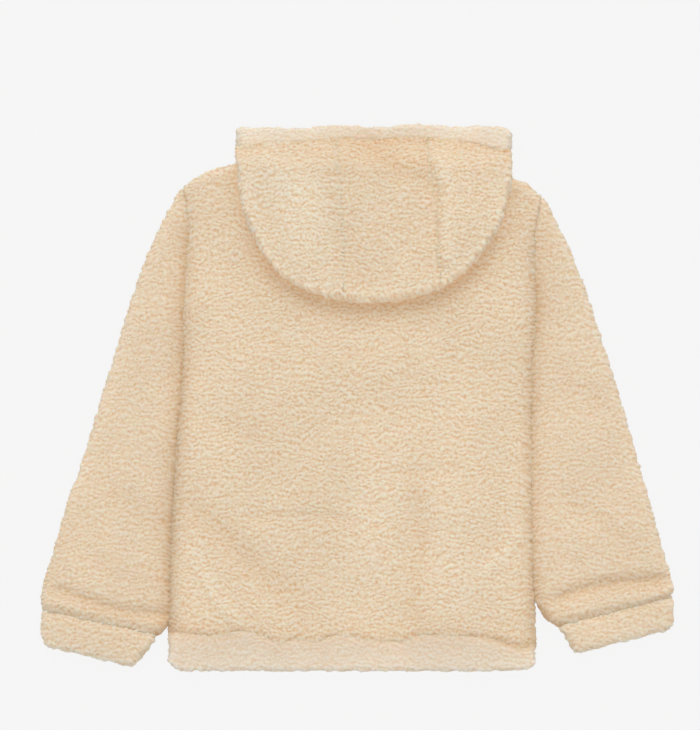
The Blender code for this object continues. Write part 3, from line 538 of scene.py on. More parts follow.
FLEECE = sherpa("fleece", (0.655, 0.445, 0.27, 1), (0.715, 0.58, 0.42, 1), (0.74, 0.665, 0.545, 1))
# A piece's cut: its flat size and area in metres, how it is held and what it rests on
Cut = namedtuple("Cut", "width length area held rests_on")


def placed(name, data):
    """A new object in the scene."""
    made = bpy.data.objects.new(name, data)
    bpy.context.scene.collection.objects.link(made)
    return made


def cloth(name, rows, finish, cut, pile_length=1.0):
    """A sewn piece: its wall with the pile raised, in place of its CAD node."""
    made = placed(name + "_fleece", wall_mesh(name, rows, pile_length))
    made.modifiers.new("pile", "NODES").node_group = RAISE_PILE
    bpy.context.view_layer.update()
    grown = bpy.data.meshes.new_from_object(made.evaluated_get(bpy.context.evaluated_depsgraph_get()))
    made.modifiers.clear()
    made.data = grown
    grown.materials.clear()
    grown.materials.append(finish)
    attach(made, "jacket")
    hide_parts(name)
    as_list(cut.rests_on)


def looked_up(y, table):
    """The value at a height, from a table of heights and values."""
    return float(np.interp(y, *zip(*table)))


def side_edge(y, roll, shades, push):
    """How the body or a sleeve ends at the other's side, at one height."""
    closing = float(np.clip((CLOSING_START - y) / CLOSING_LENGTH, 0, 1))
    return Edge(roll, looked_up(y, CREASE_ROWS), closing, looked_up(y, shades), push)


def body_rows(plan, layers, upper, left, right, spacing, width, closing_along):
    """Rows of a body panel from its top to the hem seam; an edge of None is a side of the body."""
    rows = []
    for station in stations(BODY_LENGTH, ROLLED, GROOVE, spans(BODY_LENGTH, spacing)):
        side = side_edge(plan(0.0, station.outer)[1], BODY_ROLL, BODY_SHADES, BODY_PUSH)
        edges = [side if edge is None else edge for edge in (left, right)]
        rows.append(run(plan, station, layers, upper, *edges, spans(width, spacing), closing_along))
    return rows


def make_back():
    top = path(SHOULDER_LEFT + BACK_NECK + SHOULDER_RIGHT)
    neck = [share_at(top, 0, x) for x in (SHOULDER_LEFT[-1][0], SHOULDER_RIGHT[0][0])]
    plan = patch(path(BODY_LEFT), path(BODY_RIGHT), top, path(HEM_SEAM_BACK))

    def closed(u):
        inside = np.clip((u - neck[0]) / NECK_FADE, 0, 1) * np.clip((neck[1] - u) / NECK_FADE, 0, 1)
        return 1 - NECK_OPEN * inside
    rows = body_rows(plan, BACK_LAYERS, True, None, None, FINE, FLAT_WIDTH, closed)
    cloth("back", rows, FLEECE, Cut(0.40, 0.52, 0.19, "laid", ["front_left", "front_right"]))


make_back()


# ---- Fronts.  The two front panels lie face down under the back, on the surface, and meet at the zip.
# The photograph hides them, so they are plain, with a few soft creases like those of the back.

CHANNEL = 5.8  # half the gap between the fronts, for the zip
CHANNEL_HEIGHTS = (120, 0, -120)
FRONT_NECK_LEFT = [(-44, 235), (-22, 216), (-6, 211)]
FRONT_NECK_RIGHT = [(6, 211), (40, 221), (74, 240)]
HEM_SEAM_FRONT = [(-195.5, -247), (-100, -250), (0, -251), (100, -253), (185, -257)]
FRONT_FOLDS = [
    (-150, -60, -70, -150, 1.8, 12),
    (-60, 40, -40, -90, 1.4, 14),
    (70, 20, 62, -170, 1.8, 12),
    (150, -130, 110, -190, 1.6, 12),
    (120, 120, 70, 60, 1.2, 14),
]
FRONT_LAYERS = BACK_LAYERS._replace(low=folded(level(0), FRONT_FOLDS))
FRONT_SPACING = 2.9
FRONT_FADE = 0.08  # the same on the fronts, which open fully
HALF_WIDTH = BODY_WIDTH / 2 - 2 * SIDE_ROLL


def part_of(curve, start, end):
    """The stretch of a curve between two shares of its length."""
    return lambda share: curve(start + (end - start) * np.asarray(share, float))


def make_front(name, side, top, shoulder_end, body):
    """A front between the body's side and the zip: side is -1 for the left one and 1 for the right."""
    seam = path(HEM_SEAM_FRONT)
    cut = share_at(seam, 0, side * CHANNEL)
    neck = share_at(path(top), 0, shoulder_end[0])
    zip_top = top[-1] if side < 0 else top[0]
    edge = path([zip_top] + [(side * CHANNEL, y) for y in CHANNEL_HEIGHTS] + [seam(cut)])
    if side < 0:
        plan = patch(path(body), edge, path(top), part_of(seam, 0, cut))
        rolls = None, ZIP_SIDE
    else:
        plan = patch(edge, path(body), path(top), part_of(seam, cut, 1))
        rolls = ZIP_SIDE, None
    rows = body_rows(plan, FRONT_LAYERS, False, *rolls, FRONT_SPACING, HALF_WIDTH,
                     lambda u: np.clip((side * (u - neck) + NECK_FADE) / FRONT_FADE, 0, 1))
    cloth(name, rows, FLEECE, Cut(0.20, 0.50, 0.09, "laid", ["surface"]))


make_front("front_left", -1, SHOULDER_LEFT + FRONT_NECK_LEFT, SHOULDER_LEFT[-1], BODY_LEFT)
make_front("front_right", 1, FRONT_NECK_RIGHT + SHOULDER_RIGHT, SHOULDER_RIGHT[0], BODY_RIGHT)


# ---- Sleeves.  Each is one piece of the same fleece round the arm, flattened, with its long seam
# against the body's side and a fold at its outer edge.  It is lofted through sections down the arm,
# and its pile is a little flatter than the body's.

WORN = sherpa("fleece_sleeve", (0.66, 0.465, 0.29, 1), (0.71, 0.575, 0.42, 1), (0.735, 0.65, 0.53, 1))
# a sleeve's outer fold, with painted light on its pile
FOLD = Edge(9.0, 1.0, 1.0, -0.15, 0.25)
# Each row: the seam's height, how far it has left the body, the fold's place and the sleeve's height
SLEEVE_LEFT = [
    (217, 0, -183.5, 216.5, 11.0),
    (210, 0, -188.5, 209.5, 13.5),
    (192, 0, -198.5, 191.5, 16.0),
    (160, 0, -214.5, 159, 16.6),
    (103, 0, -235.2, 103, 16.8),
    (50, 0, -251, 50, 16.6),
    (-2, 0, -267.8, -4, 16.2),
    (-55, 0, -283.5, -57, 16.0),
    (-107, 0, -301, -107, 16.4),
    (-160, 0, -317.5, -162, 16.8),
    (-212, 0, -328.2, -200, 17.2),
    (-236, 3, -329.5, -211, 18.0),
    (-247.3, 14.5, -327, -221.8, 12.8),
]
SLEEVE_RIGHT = [
    (208, 0, 194.5, 207.5, 11.0),
    (201, 0, 198.5, 201, 13.5),
    (182, 0, 206.5, 185.5, 16.0),
    (155, 0, 221.5, 155, 16.6),
    (103, 0, 241.5, 103, 16.8),
    (50, 0, 258.3, 50, 16.6),
    (-2, 0, 275, -2, 16.2),
    (-55, 0, 289.8, -55, 16.0),
    (-107, 0, 304.5, -107, 16.4),
    (-160, 0, 319, -160, 16.8),
    (-205, 2.0, 329.2, -193, 17.2),
    (-230, 15, 329.7, -200.5, 18.0),
    (-237.8, 26.5, 327.5, -208.3, 12.8),
]
SLEEVE_FOLDS = [
    (-245, -100, -215, -130, -1.2, 14),
    (-270, -170, -225, -190, -1.2, 12),
    (225, 20, 250, -10, -1.0, 14),
    (235, -120, 275, -150, -1.2, 13),
    (192, 190, 197, 162, -1.4, 13),
    (-300, -206, -204, -228, -4.0, 8),
    (222, -207, 316, -187, -5.2, 8),
    (-315, -130, -322, -185, -1.6, 10),
    (298, -70, 318, -160, -1.1, 9),
]
SLEEVE_WIDTH = 92.0
SLEEVE_ROLL = 12.0  # the sleeve sinks under the body's edge
SLEEVE_PUSH = 0.8
SIDE_SAMPLES = 400
SLEEVE_CUT = Cut(0.28, 0.49, 0.10, "laid", ["surface"])
CUFF_SHADE = 0.05  # painted shade on the pile at the seam of sleeve and cuff
PRESSED = -0.7  # the piles of sleeve and body press into each other
# painted shade along each sleeve's seam with the body, at each height
SHADES_LEFT = [(-250, 0.6), (-150, 0.7), (60, 0.75), (170, 0.7), (205, 0.25)]
SHADES_RIGHT = [(-250, 0.6), (-150, 0.5), (60, 0.55), (90, 0.8), (120, 0.7), (160, 0.3), (200, 0.0)]


def ruled(start, end):
    """Rows of straight lines between two curves, as a function of across and along shares."""
    def at(u, v):
        u = np.asarray(u, float)[..., None]
        return start(v) * (1 - u) + end(v) * u
    return at


def joined(runs):
    """Runs laid end to end round a fold: the fold's own column is kept once."""
    outer, inner = runs[0]
    for next_outer, next_inner in runs[1:]:
        outer = np.vstack((outer, next_outer[1:]))
        inner = np.vstack((inner, next_inner[1:]))
    return outer, inner


def reverse(one_run):
    """The same run from its end to its start."""
    return one_run[0][::-1], one_run[1][::-1]


def between(at, knots, table):
    """A table's columns at a place between its rows."""
    return [float(smooth(at, knots, column)) for column in zip(*table)]


def tube_row(seam, edge, height, start, folds, width, shade):
    """One section of a flattened tube, between its seam side and its outer edge."""
    plan = ruled(lambda v: np.broadcast_to(seam, np.shape(v) + (2,)),
                 lambda v: np.broadcast_to(edge, np.shape(v) + (2,)))
    station = Station(0.0, 1.0, 0.0, 1.0, shade, 0.0)
    layers = Layers(level(0), folded(level(height), folds), level(0), level(height),
                    level(min(height, FLAT_HEIGHT) / 2), WALL)
    upper = run(plan, station, layers, True, start, FOLD, spans(width, FINE))
    lower = run(plan, station, layers, False, start, FOLD, spans(width, COARSE))
    return joined((upper, reverse(lower)))


def make_sleeve(name, table, side_points, shades, side):
    body = path(side_points)(np.linspace(0, 1, SIDE_SAMPLES))
    knots = [-row[0] for row in table]
    top, foot = -knots[0], -knots[-1]
    rows = []
    for y in np.linspace(top, foot, spans(top - foot, FINE)):
        _, away, edge_x, edge_y, height = between(-y, knots, table)
        body_x = float(np.interp(-y, -body[:, 1], body[:, 0]))
        seam = (body_x + side * (PRESSED + max(away, 0)), y)
        edge = side_edge(y, SLEEVE_ROLL, shades, SLEEVE_PUSH)
        rows.append(tube_row(seam, (edge_x, edge_y), height, edge, SLEEVE_FOLDS, SLEEVE_WIDTH,
                             CUFF_SHADE * seam_shade(y - foot)))
    cloth(name, rows, WORN, SLEEVE_CUT)


make_sleeve("sleeve_left", SLEEVE_LEFT, BODY_LEFT, SHADES_LEFT, -1)
make_sleeve("sleeve_right", SLEEVE_RIGHT, BODY_RIGHT, SHADES_RIGHT, 1)


# ---- Cuffs.  A short tube of the same fleece round each wrist, sewn to the sleeve's end, with a
# rounded free edge.

# Each row: the places of the cuff's two sides and its height
CUFF_LEFT = [
    (-210.3, -247, -327, -221.4, 12.8),
    (-214.5, -255.5, -329.3, -232, 15.6),
    (-222.5, -266, -329.2, -244, 15.8),
    (-229.5, -274.5, -327, -254, 14.6),
    (-236.5, -281, -321, -260, 10.5),
]
CUFF_RIGHT = [
    (211.8, -237.5, 327.5, -207.9, 12.8),
    (216.5, -246.5, 330.3, -216, 15.6),
    (222.5, -257, 330.3, -227, 15.8),
    (227.5, -263, 329.4, -236, 14.6),
    (232.5, -266.5, 326.5, -242, 10.5),
]
CUFF_LENGTH = 40.0
CUFF_WIDTH = 100.0
CUFF_CUT = Cut(0.24, 0.045, 0.0105, "laid", ["surface"])
FREE_SHADE = -0.5  # painted light that makes a free edge's pile paler


def make_cuff(name, table):
    knots = np.arange(len(table))
    rows = []
    for mark in np.linspace(0, len(table) - 1, spans(CUFF_LENGTH, FINE)):
        seam_x, seam_y, edge_x, edge_y, height = between(mark, knots, table)
        down = mark / (len(table) - 1) * CUFF_LENGTH
        # painted shade at the seam to the sleeve, painted light at the free edge
        shade = CUFF_SHADE * seam_shade(down) + FREE_SHADE * seam_shade(CUFF_LENGTH - down)
        rows.append(tube_row((seam_x, seam_y), (edge_x, edge_y), height, ROLLED, [], CUFF_WIDTH, shade))
    cloth(name, rows, WORN, CUFF_CUT)


make_cuff("cuff_left", CUFF_LEFT)
make_cuff("cuff_right", CUFF_RIGHT)


# ---- Hem band.  One strip of fleece round the bottom of the body, from the zip round both sides to
# the zip, behind a wavy seam, with a rounded free edge.

BAND = sherpa("fleece_band", (0.67, 0.52, 0.37, 1), (0.71, 0.595, 0.465, 1), (0.725, 0.655, 0.56, 1))
BAND_PILE = 0.85  # the bands' pile is a little shorter
HEM_EDGE = [(-196.5, -273), (-193, -280), (-184, -284.2), (-60, -284.5), (45, -285), (174, -283.8),
            (182, -281), (185.5, -273)]
# a free edge, with painted light on its pile
FREE_EDGE = Edge(6.0, 0.55, 0.0, -0.3, 0.0)
BAND_WIDTH = 34.0


def lowered(curve, amount):
    """The same curve, nearer to the hem by an amount."""
    return lambda share: curve(share) - np.array((0.0, amount))


def turned(plan):
    """The same surface with its across and along shares exchanged."""
    return lambda u, v: plan(v, u)


def make_band(name, plans, stretch, layers, fold, over, under, cut):
    """A strip from the zip round to the zip: its upper run, and the two runs under it."""
    upper_plan, *lower_plans = map(turned, plans)
    rows = []
    for station in stretch:
        upper = run(upper_plan, station, layers, True, fold, fold, over)
        left, right = (run(plan, station, layers, False, fold, ZIP_SIDE, under) for plan in lower_plans)
        rows.append(joined((reverse(left), upper, right)))
    cloth(name, rows, BAND, cut, BAND_PILE)


def make_hem_band():
    edge = path(HEM_EDGE)
    back = ruled(lowered(path(HEM_SEAM_BACK), SEAM), edge)
    seam = path(HEM_SEAM_FRONT)
    cut_seam = [share_at(seam, 0, x) for x in (-CHANNEL, CHANNEL)]
    cut_edge = [share_at(edge, 0, x) for x in (-CHANNEL, CHANNEL)]
    seam = lowered(seam, SEAM)
    left = ruled(part_of(seam, 0, cut_seam[0]), part_of(edge, 0, cut_edge[0]))
    right = ruled(part_of(seam, 1, cut_seam[1]), part_of(edge, 1, cut_edge[1]))
    deep = spans(BAND_WIDTH - GROOVE.radius - FREE_EDGE.radius, FINE)
    make_band("hem_band", (back, left, right), stations(BAND_WIDTH, GROOVE, FREE_EDGE, deep), BACK_LAYERS,
              ROLLED, spans(FLAT_WIDTH, FINE), spans(HALF_WIDTH, COARSE),
              Cut(0.76, 0.04, 0.028, "laid", ["surface"]))


make_hem_band()


# ---- Hood.  A centre strip over the crown between two shaped sides, all of the same fleece, folded
# down flat on the back: each piece goes over the top, turns at the crown and comes back under to the
# neckline.  A band goes round the mouth, from the zip over the top to the zip.

# The fold at the crown's edge, the hood's seams, and the ends that the neckline hides
# painted light on the crown's edge, painted shade along the seams
CROWN = FOLD._replace(radius=6.0, shade=-0.2, push=0.7)
NAP_SEAM = Edge(5.0, 0.18, 0.0, 0.1, 1.0)
MOUTH_SEAM = NAP_SEAM._replace(depth=0.22, shade=0.2, push=0.9)
TUCKED = Edge(3.0, 0.0, 0.0, 0.0, 0.0)
HOOD_FLOOR = FLAT_HEIGHT + SEAM
HOOD_WALL = 6.8
HOOD_HEIGHT = 34.0
MOUTH_HEIGHT = 16.5  # where the hood has sunk to the surface beyond the neck
DROOP_START = 238.0
DROOP_END = 285.0
HOOD_TURN = 0.28  # how high the hood's edge turns under, for its pile hangs to the back
# Each grid's length, its rows, and the spans of a row on the upper and the lower layer
Grid = namedtuple("Grid", "size rows over under")
SIDE_GRID = Grid(200.0, 128, 64, 20)
CENTRE_GRID = Grid(100.0, 64, 104, 36)
MOUTH_GRID = Grid(24.0, 9, 190, 36)
HOOD_FOLDS = [
    (-97, 192, -50, 92, -1.8, 11),
    (22, 260, 64, 226, -2.4, 13),
    (-84, 245, -54, 190, 1.7, 16),
    (88, 245, 97, 148, 2.2, 8),
    (-8, 165, 0, 132, -1.4, 14),
    (12, 276, 54, 276, -1.2, 8),
    (74, 266, 80, 205, -0.5, 4),
    (79, 210, 88, 138, -1.5, 5),
    (-122, 261, -96, 263.5, -2.2, 3),
    (112, 263.5, 157, 256.5, -2.2, 3),
]
STITCH_LINE = [(-123.9, 260.5), (-93.5, 264), (-45, 267.2), (-3, 270.5), (41, 270.5), (67, 269.8),
               (111, 264.5), (128, 261.5), (158.6, 256.5)]
MOUTH_EDGE = [(-126.5, 279), (-118, 282.6), (-67, 281.6), (-15, 284.4), (19, 282.6), (70, 285.6),
              (108, 282.4), (136, 284.4), (156, 280.5), (162.5, 276)]
LEFT_SEAM = [(-23, 270), (-18, 208), (-15, 155), (-14.7, 104)]
RIGHT_SEAM = [(74.5, 269.5), (76, 225), (82, 190), (86, 150), (88.2, 117.6)]
CROWN_LEFT = [(-123.9, 260.5), (-120.8, 218.4), (-117.6, 197.4), (-107.1, 172.2), (-93.5, 148.1),
              (-75.6, 128.1), (-53.6, 115), (-36.8, 109), (-14.7, 104)]
CROWN_CENTRE = [(-14.7, 104), (10, 102), (35.7, 102.9), (60, 107.5), (88.2, 117.6)]
CROWN_RIGHT = [(158.6, 256.5), (159.6, 232.1), (155.4, 212.1), (148.1, 183.8), (135.5, 163.8),
               (119.7, 141.8), (101.9, 126), (88.2, 117.6)]
NECK_JOIN = [(-23, 247), (26, 246), (75, 250)]
SEAM_TURN = 0.91  # the sides' rows end at this share of the long seams
SEAM_CROWD = 1.4  # and crowd towards that end
MOUTH_FADE = 3  # how soon a row leaves the stitch line's shape, as a power
CHIN_FADE = 9  # and a row of the band the corner's
CHIN_STARTS = (-112, 146)  # where the band's runs to the chin begin at the neckline
CHIN_TOP = 234.0
NECK_GAP = 1.2  # between the band and a front's neckline
NECK_STEP = 0.005  # for the neckline's direction
STITCH = path(STITCH_LINE)


def hood_ceiling(points):
    """The folded hood's top: level over the back, then sinking to the surface at the mouth."""
    t = np.clip((points[..., 1] - DROOP_START) / (DROOP_END - DROOP_START), 0, 1)
    droop = t * t * (3 - 2 * t)
    return HOOD_HEIGHT + (MOUTH_HEIGHT - HOOD_HEIGHT) * droop


def hood_layers(floor):
    """The folded hood over a floor, with its upper and lower layers parted at the turn's height."""
    return Layers(level(floor), folded(hood_ceiling, HOOD_FOLDS), level(floor), hood_ceiling,
                  lambda points: floor + (hood_ceiling(points) - floor) * HOOD_TURN, HOOD_WALL)


HOOD_LAYERS = hood_layers(HOOD_FLOOR)
MOUTH_LAYERS = hood_layers(0)


def moved(plan, x, y):
    """The same surface, moved in plan."""
    return lambda u, v: plan(u, v) + np.array((x, y))


def side_plans(seam_points, neck_join, crown, stitch_part, shift):
    """Plans of a hood side's upper and lower layers, from the long seam to the crown's edge."""
    seam = path(seam_points)
    neck = path([neck_join] + seam_points[1:])
    edge = path(crown)

    def seam_share(v):
        return SEAM_TURN * (1 - (1 - np.asarray(v, float)) ** SEAM_CROWD)
    upper = ruled(lambda v: seam(seam_share(v)), edge)
    lower = ruled(lambda v: neck(seam_share(v)), edge)

    def fitted(u, v):
        u = np.asarray(u, float)
        fade = (1 - np.asarray(v, float))[..., None] ** MOUTH_FADE
        return upper(u, v) + fade * (stitch_part(u) - upper(u, np.zeros_like(u)))
    return moved(fitted, shift, -HALF_SEAM), moved(lower, shift, -HALF_SEAM)


def make_hood_piece(name, plans, stretch, start, grid, cut):
    """A piece of the hood, from its start over the top to the crown's fold and back under."""
    rows = []
    for station in stretch:
        over = run(plans[0], station, HOOD_LAYERS, True, start, CROWN, grid.over)
        under = run(plans[1], station, HOOD_LAYERS, False, NAP_SEAM, CROWN, grid.under)
        rows.append(joined((over, reverse(under))))
    cloth(name, rows, FLEECE, cut)


def make_hood_centre(stitch_part):
    left, right = path(LEFT_SEAM), path(RIGHT_SEAM)
    neck_left = path(NECK_JOIN[:1] + LEFT_SEAM[1:])
    neck_right = path(NECK_JOIN[-1:] + RIGHT_SEAM[1:])
    bottom = path(CROWN_CENTRE)
    upper = turned(patch(left, right, stitch_part, bottom))
    lower = turned(patch(neck_left, neck_right, path(NECK_JOIN), bottom))
    plans = [moved(plan, 0, -HALF_SEAM) for plan in (upper, lower)]
    inset = SEAM / CENTRE_GRID.size
    stretch = [station._replace(outer=inset + (1 - 2 * inset) * station.outer,
                                inner=inset + (1 - 2 * inset) * station.inner)
               for station in stations(CENTRE_GRID.size, NAP_SEAM, NAP_SEAM, CENTRE_GRID.rows)]
    make_hood_piece("hood_centre", plans, stretch, MOUTH_SEAM, CENTRE_GRID,
                    Cut(0.11, 0.33, 0.034, "folded", ["back"]))


def make_hood_band():
    edge = path(MOUTH_EDGE)
    lifted = lowered(STITCH, -HALF_SEAM)
    top = ruled(lifted, edge)

    def chin(neckline_points, end, start_x):
        """Plan of the run from a corner to the zip, along the neckline of one front."""
        neckline = path(neckline_points)
        along = part_of(neckline, share_at(neckline, 0, start_x), 1.0)
        corner = lifted(end) - along(0.0)

        def seam(share):
            share = np.asarray(share, float)
            step = along(np.clip(share + NECK_STEP, 0, 1)) - along(np.clip(share - NECK_STEP, 0, 1))
            length = np.hypot(step[..., 0], step[..., 1])[..., None]
            normal = np.stack((-step[..., 1], step[..., 0]), axis=-1) / length
            normal = normal * np.sign(normal[..., 1:2] + 1e-9)
            fade = (1 - share)[..., None] ** CHIN_FADE
            return along(share) + normal * NECK_GAP + fade * (corner - normal * NECK_GAP)
        foot = np.array((along(1.0)[0], CHIN_TOP))
        return ruled(seam, path([edge(end), (edge(end) + foot) / 2, foot]))
    left = chin(SHOULDER_LEFT + FRONT_NECK_LEFT, 0.0, CHIN_STARTS[0])
    right = chin((FRONT_NECK_RIGHT + SHOULDER_RIGHT)[::-1], 1.0, CHIN_STARTS[1])
    stretch = stations(MOUTH_GRID.size, MOUTH_SEAM, FREE_EDGE, MOUTH_GRID.rows)
    make_band("hood_band", (top, left, right), stretch, MOUTH_LAYERS, FOLD, MOUTH_GRID.over,
              MOUTH_GRID.under, Cut(0.62, 0.03, 0.016, "folded", ["surface", "back"]))


def make_hood():
    turns = share_at(STITCH, 0, LEFT_SEAM[0][0]), share_at(STITCH, 0, RIGHT_SEAM[0][0])
    left = side_plans(LEFT_SEAM, NECK_JOIN[0], CROWN_LEFT, part_of(STITCH, turns[0], 0), -HALF_SEAM)
    right = side_plans(RIGHT_SEAM, NECK_JOIN[-1], CROWN_RIGHT, part_of(STITCH, turns[1], 1), HALF_SEAM)
    stretch = stations(SIDE_GRID.size, MOUTH_SEAM, TUCKED, SIDE_GRID.rows)
    make_hood_piece("hood_side_left", left, stretch, NAP_SEAM, SIDE_GRID,
                    Cut(0.17, 0.21, 0.0245, "folded", ["back"]))
    make_hood_piece("hood_side_right", right, stretch, NAP_SEAM, SIDE_GRID,
                    Cut(0.15, 0.20, 0.0185, "folded", ["back"]))
    make_hood_centre(part_of(STITCH, turns[0], turns[1]))
    make_hood_band()


make_hood()


# ---- Light on the pile. Painted shadow on the back beside the hood, most of all under its lower edge,
# and painted shade beside the armholes and side seams and where the hood sinks to the mouth.  A painted
# warm glow at the hood's edge, and the hood's left side painted paler, as the sheen of its nap looks.

CROWN_SAMPLES = 120
BODY_SAMPLES = 240
# painted shadow on the back under the hood's edge
HOOD_SHADE = 0.6
HOOD_SHADE_WIDTH = 20.0
HOOD_SHADE_TOP = 175.0  # from here down it grows to its full strength
HOOD_SHADE_FADE = 40.0
BESIDE_HOOD = 0.3  # its strength at the hood's sides
# a painted warm glow on the back at the hood's edge, and on the hood's own rim
GLOW_WIDTH = 6.5
RIM_GLOW = 0.75
RIM_GLOW_WIDTH = 3.5
# painted grey shade beside each side seam, at each height; fainter on the sleeves
GLOOM_LEFT = [(-257, 0.16), (-150, 0.18), (0, 0.14), (60, 0.10), (150, 0.10), (200, 0.04)]
GLOOM_RIGHT = [(-257, 0.08), (-150, 0.08), (0, 0.08), (60, 0.12), (150, 0.10), (200, 0.0)]
GLOOM_WIDTH = 8.0
SLEEVE_GLOOM = 0.4
# Painted shade where the hood sinks towards the mouth
SLOPE_SHADE = {"hood_side_left": 0.16, "hood_centre": 0.2, "hood_side_right": 0.08}
SLOPE_START = 220.0
SLOPE_FADE = 30.0
# the hood's left side painted paler and a little greyer, as the sheen of its nap looks
PALE_SHADE = 0.15
PALE_GLOOM = 0.02
PALE_FULL = -60.0
PALE_END = 15.0


def nearness(curve, points, samples, width):
    """How near each point is, in plan, to a curve: 1 on it, and fading over a width."""
    near = np.full(len(points), np.inf)
    for spot in curve(np.linspace(0, 1, samples)):
        near = np.minimum(near, np.hypot(*(points - spot).T))
    return np.exp(-(near / width) ** 2)


def light_pile():
    """Adds painted shade to the pieces' pile, with a painted glow and painted grey shade."""
    crown = path(CROWN_LEFT + CROWN_CENTRE[1:-1] + CROWN_RIGHT[::-1])
    for piece in ("back", "sleeve_left", "sleeve_right", *SLOPE_SHADE):
        mesh = bpy.data.objects[piece + "_fleece"].data
        points = np.zeros(len(mesh.vertices) * 3)
        mesh.attributes["rest"].data.foreach_get("vector", points)
        points = points.reshape(-1, 3)[:, :2] / MILLIMETRE
        x, y = points.T
        shade, glow, gloom = np.zeros((3, len(points)))
        mesh.attributes["shade"].data.foreach_get("value", shade)
        below = BESIDE_HOOD + (1 - BESIDE_HOOD) * np.clip((HOOD_SHADE_TOP - y) / HOOD_SHADE_FADE, 0, 1)
        if piece in SLOPE_SHADE:
            pale = np.clip((PALE_END - x) / (PALE_END - PALE_FULL), 0, 1)
            slope = np.clip((y - SLOPE_START) / SLOPE_FADE, 0, 1)
            shade += SLOPE_SHADE[piece] * slope - PALE_SHADE * pale
            glow += RIM_GLOW * below * nearness(crown, points, CROWN_SAMPLES, RIM_GLOW_WIDTH)
            gloom += PALE_GLOOM * pale
        else:
            for side, table in ((BODY_LEFT, GLOOM_LEFT), (BODY_RIGHT, GLOOM_RIGHT)):
                strength = np.interp(y, *zip(*table)) * (1.0 if piece == "back" else SLEEVE_GLOOM)
                gloom += strength * nearness(path(side), points, BODY_SAMPLES, GLOOM_WIDTH)
        if piece == "back":
            shade += HOOD_SHADE * below * nearness(crown, points, CROWN_SAMPLES, HOOD_SHADE_WIDTH)
            glow += nearness(crown, points, CROWN_SAMPLES, GLOW_WIDTH)
        mesh.attributes["shade"].data.foreach_set("value", shade)
        mesh.attributes.new("glow", "FLOAT", "POINT").data.foreach_set("value", glow)
        mesh.attributes.new("gloom", "FLOAT", "POINT").data.foreach_set("value", gloom)


light_pile()


# ---- Front zip.  Closed, under the jacket: woven tapes, two rows of moulded teeth, a metal slider and
# its pull.  The solids of the frame stay, with their finishes; the teeth are added under the chain.

ZIP_FOOT = -283.0
ZIP_TEETH_TOP = 196.0
TOOTH_PITCH = 2.0
TOOTH_LENGTH = 1.2
TOOTH_REACH = 2.5
TOOTH_OVERLAP = 0.4  # past the chain's middle
TOOTH_LOW = 4.2
TOOTH_HIGH = 5.4
GRAIN_DEPTH = 0.0002
WEAR_RANGE = (0.3, 0.7)
WEAR_TONES = (0.86, 1.08)
WEAR_ROUGHNESS = (0.85, 1.15)


def grained(name, colour, roughness, metallic, grain, relief):
    """A plain finish with a fine grain across it."""
    made, shader, rest = material(name)
    place = rest.node("ShaderNodeTexCoord", {}, "Object") * 1000
    wear = place.noise(grain, 3.0)
    base = wear.node("ShaderNodeRGB", {})
    base.socket.default_value = colour
    feed(shader, "Base Color", base * wear.ranged(*WEAR_RANGE, *WEAR_TONES))
    smoother, rougher = (roughness * share for share in WEAR_ROUGHNESS)
    feed(shader, "Roughness", wear.ranged(*WEAR_RANGE, smoother, rougher))
    bump = wear.node("ShaderNodeBump", {"Height": wear, "Strength": relief, "Distance": GRAIN_DEPTH})
    feed(shader, "Normal", bump)
    set_shader(shader, {"Metallic": metallic})
    return made


TAPE = grained("woven_tape", (0.62, 0.52, 0.40, 1), 0.75, 0.0, 0.35, 0.6)
METAL = grained("brushed_metal", (0.55, 0.53, 0.50, 1), 0.32, 1.0, 0.8, 0.15)
TEETH = grained("moulded_teeth", (0.60, 0.51, 0.40, 1), 0.4, 0.0, 1.5, 0.1)


def make_zip():
    for name, finish in (("zip_chain", TAPE), ("zip_slider", METAL), ("zip_pull", METAL)):
        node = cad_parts[name]
        for holder in node.material_slots:
            holder.material = finish
        if not node.material_slots:
            node.data.materials.append(finish)
    points, faces = [], []
    for k in range(int((ZIP_TEETH_TOP - ZIP_FOOT) / TOOTH_PITCH)):
        y = ZIP_FOOT + (k + 1) * TOOTH_PITCH
        side = 1 if k % 2 else -1
        low, high = sorted((-TOOTH_OVERLAP * side, TOOTH_REACH * side))
        first = len(points)
        points += [(x, y + dy, z) for z in (TOOTH_LOW, TOOTH_HIGH)
                   for x, dy in ((low, 0), (high, 0), (high, TOOTH_LENGTH), (low, TOOTH_LENGTH))]
        faces += [[first + i for i in face] for face in
                  ((3, 2, 1, 0), (4, 5, 6, 7), (0, 1, 5, 4), (1, 2, 6, 5), (2, 3, 7, 6), (3, 0, 4, 7))]
    mesh = bpy.data.meshes.new("zip_teeth")
    mesh.from_pydata(np.array(points) * MILLIMETRE, [], faces)
    mesh.materials.append(TEETH)
    teeth = placed("zip_teeth", mesh)
    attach(teeth, "jacket")


make_zip()


# ---- Surface, light and camera.  A pale studio surface under the jacket, soft light from all round
# and from beyond the hood, and a long lens looking straight down, as in the photograph.

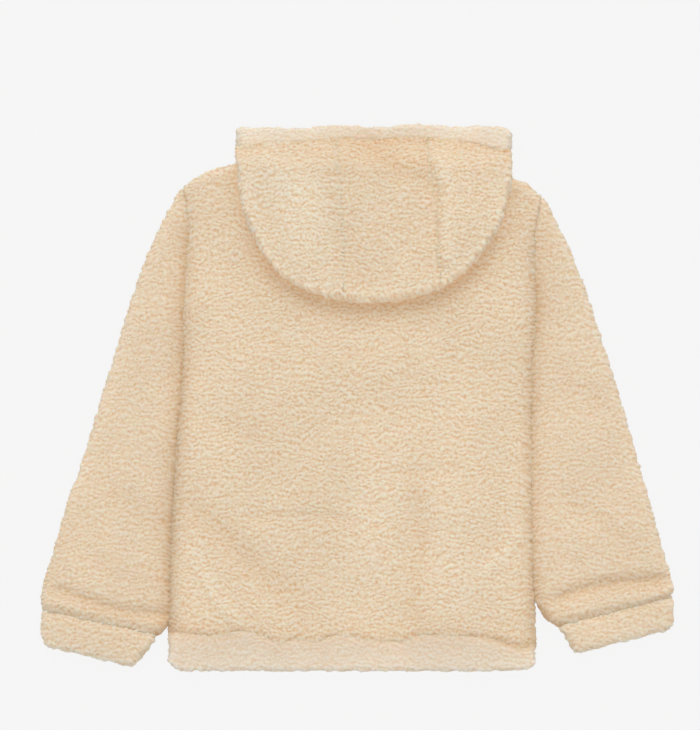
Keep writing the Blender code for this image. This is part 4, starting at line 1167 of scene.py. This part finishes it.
PIXEL = 1.05  # millimetres of the jacket in a pixel of the photograph
PHOTO_HEIGHT = 730
SIGHT_X = -7.35  # the spot that the camera looks down on
SIGHT_Y = 34.65
CAMERA_HEIGHT = 3000.0
SENSOR = 36.0
FLOOR_HALF = 4.0
FLOOR_DROP = 0.0003
PALE_SURFACE = {"Base Color": (0.03, 0.03, 0.03, 1), "Roughness": 0.9, "Specular IOR Level": 0.0,
                "Emission Color": (1, 1, 1, 1), "Emission Strength": 0.8865}
SKY_COLOUR = (1.0, 0.995, 0.98, 1)
SKY_STRENGTH = 0.5
LAMP_COLOUR = (1.0, 0.985, 0.96)
# Each light: its strength, then how wide it is and how high it stands beyond the hood, in degrees
LIGHTS = [("window", 0.8, 40, 36), ("overhead", 1.5, 110, 80)]


def make_stage():
    made, shader, _ = material("pale_surface")
    set_shader(shader, PALE_SURFACE)
    corners = [(x * FLOOR_HALF, y * FLOOR_HALF, 0) for x, y in ((-1, -1), (1, -1), (1, 1), (-1, 1))]
    mesh = bpy.data.meshes.new("surface")
    mesh.from_pydata(corners, [], [(0, 1, 2, 3)])
    mesh.materials.append(made)
    surface = placed("surface", mesh)
    surface.location.z = -FLOOR_DROP

    world = bpy.data.worlds.new("studio")
    world.use_nodes = True
    sky = world.node_tree.nodes["Background"]
    set_shader(sky, {"Color": SKY_COLOUR, "Strength": SKY_STRENGTH})
    bpy.context.scene.world = world

    for name, energy, spread, elevation in LIGHTS:
        lamp = bpy.data.lights.new(name, "SUN")
        lamp.energy = energy
        lamp.angle = math.radians(spread)
        lamp.color = LAMP_COLOUR
        placed(name, lamp).rotation_euler = (-math.radians(90 - elevation), 0, 0)

    lens = bpy.data.cameras.new("camera")
    lens.lens = SENSOR * CAMERA_HEIGHT / (PIXEL * PHOTO_HEIGHT)
    lens.sensor_width = SENSOR
    camera = placed("camera", lens)
    camera.location = np.array((SIGHT_X, SIGHT_Y, CAMERA_HEIGHT)) * MILLIMETRE
    bpy.context.scene.camera = camera
    bpy.context.scene.view_settings.view_transform = "Standard"


make_stage()
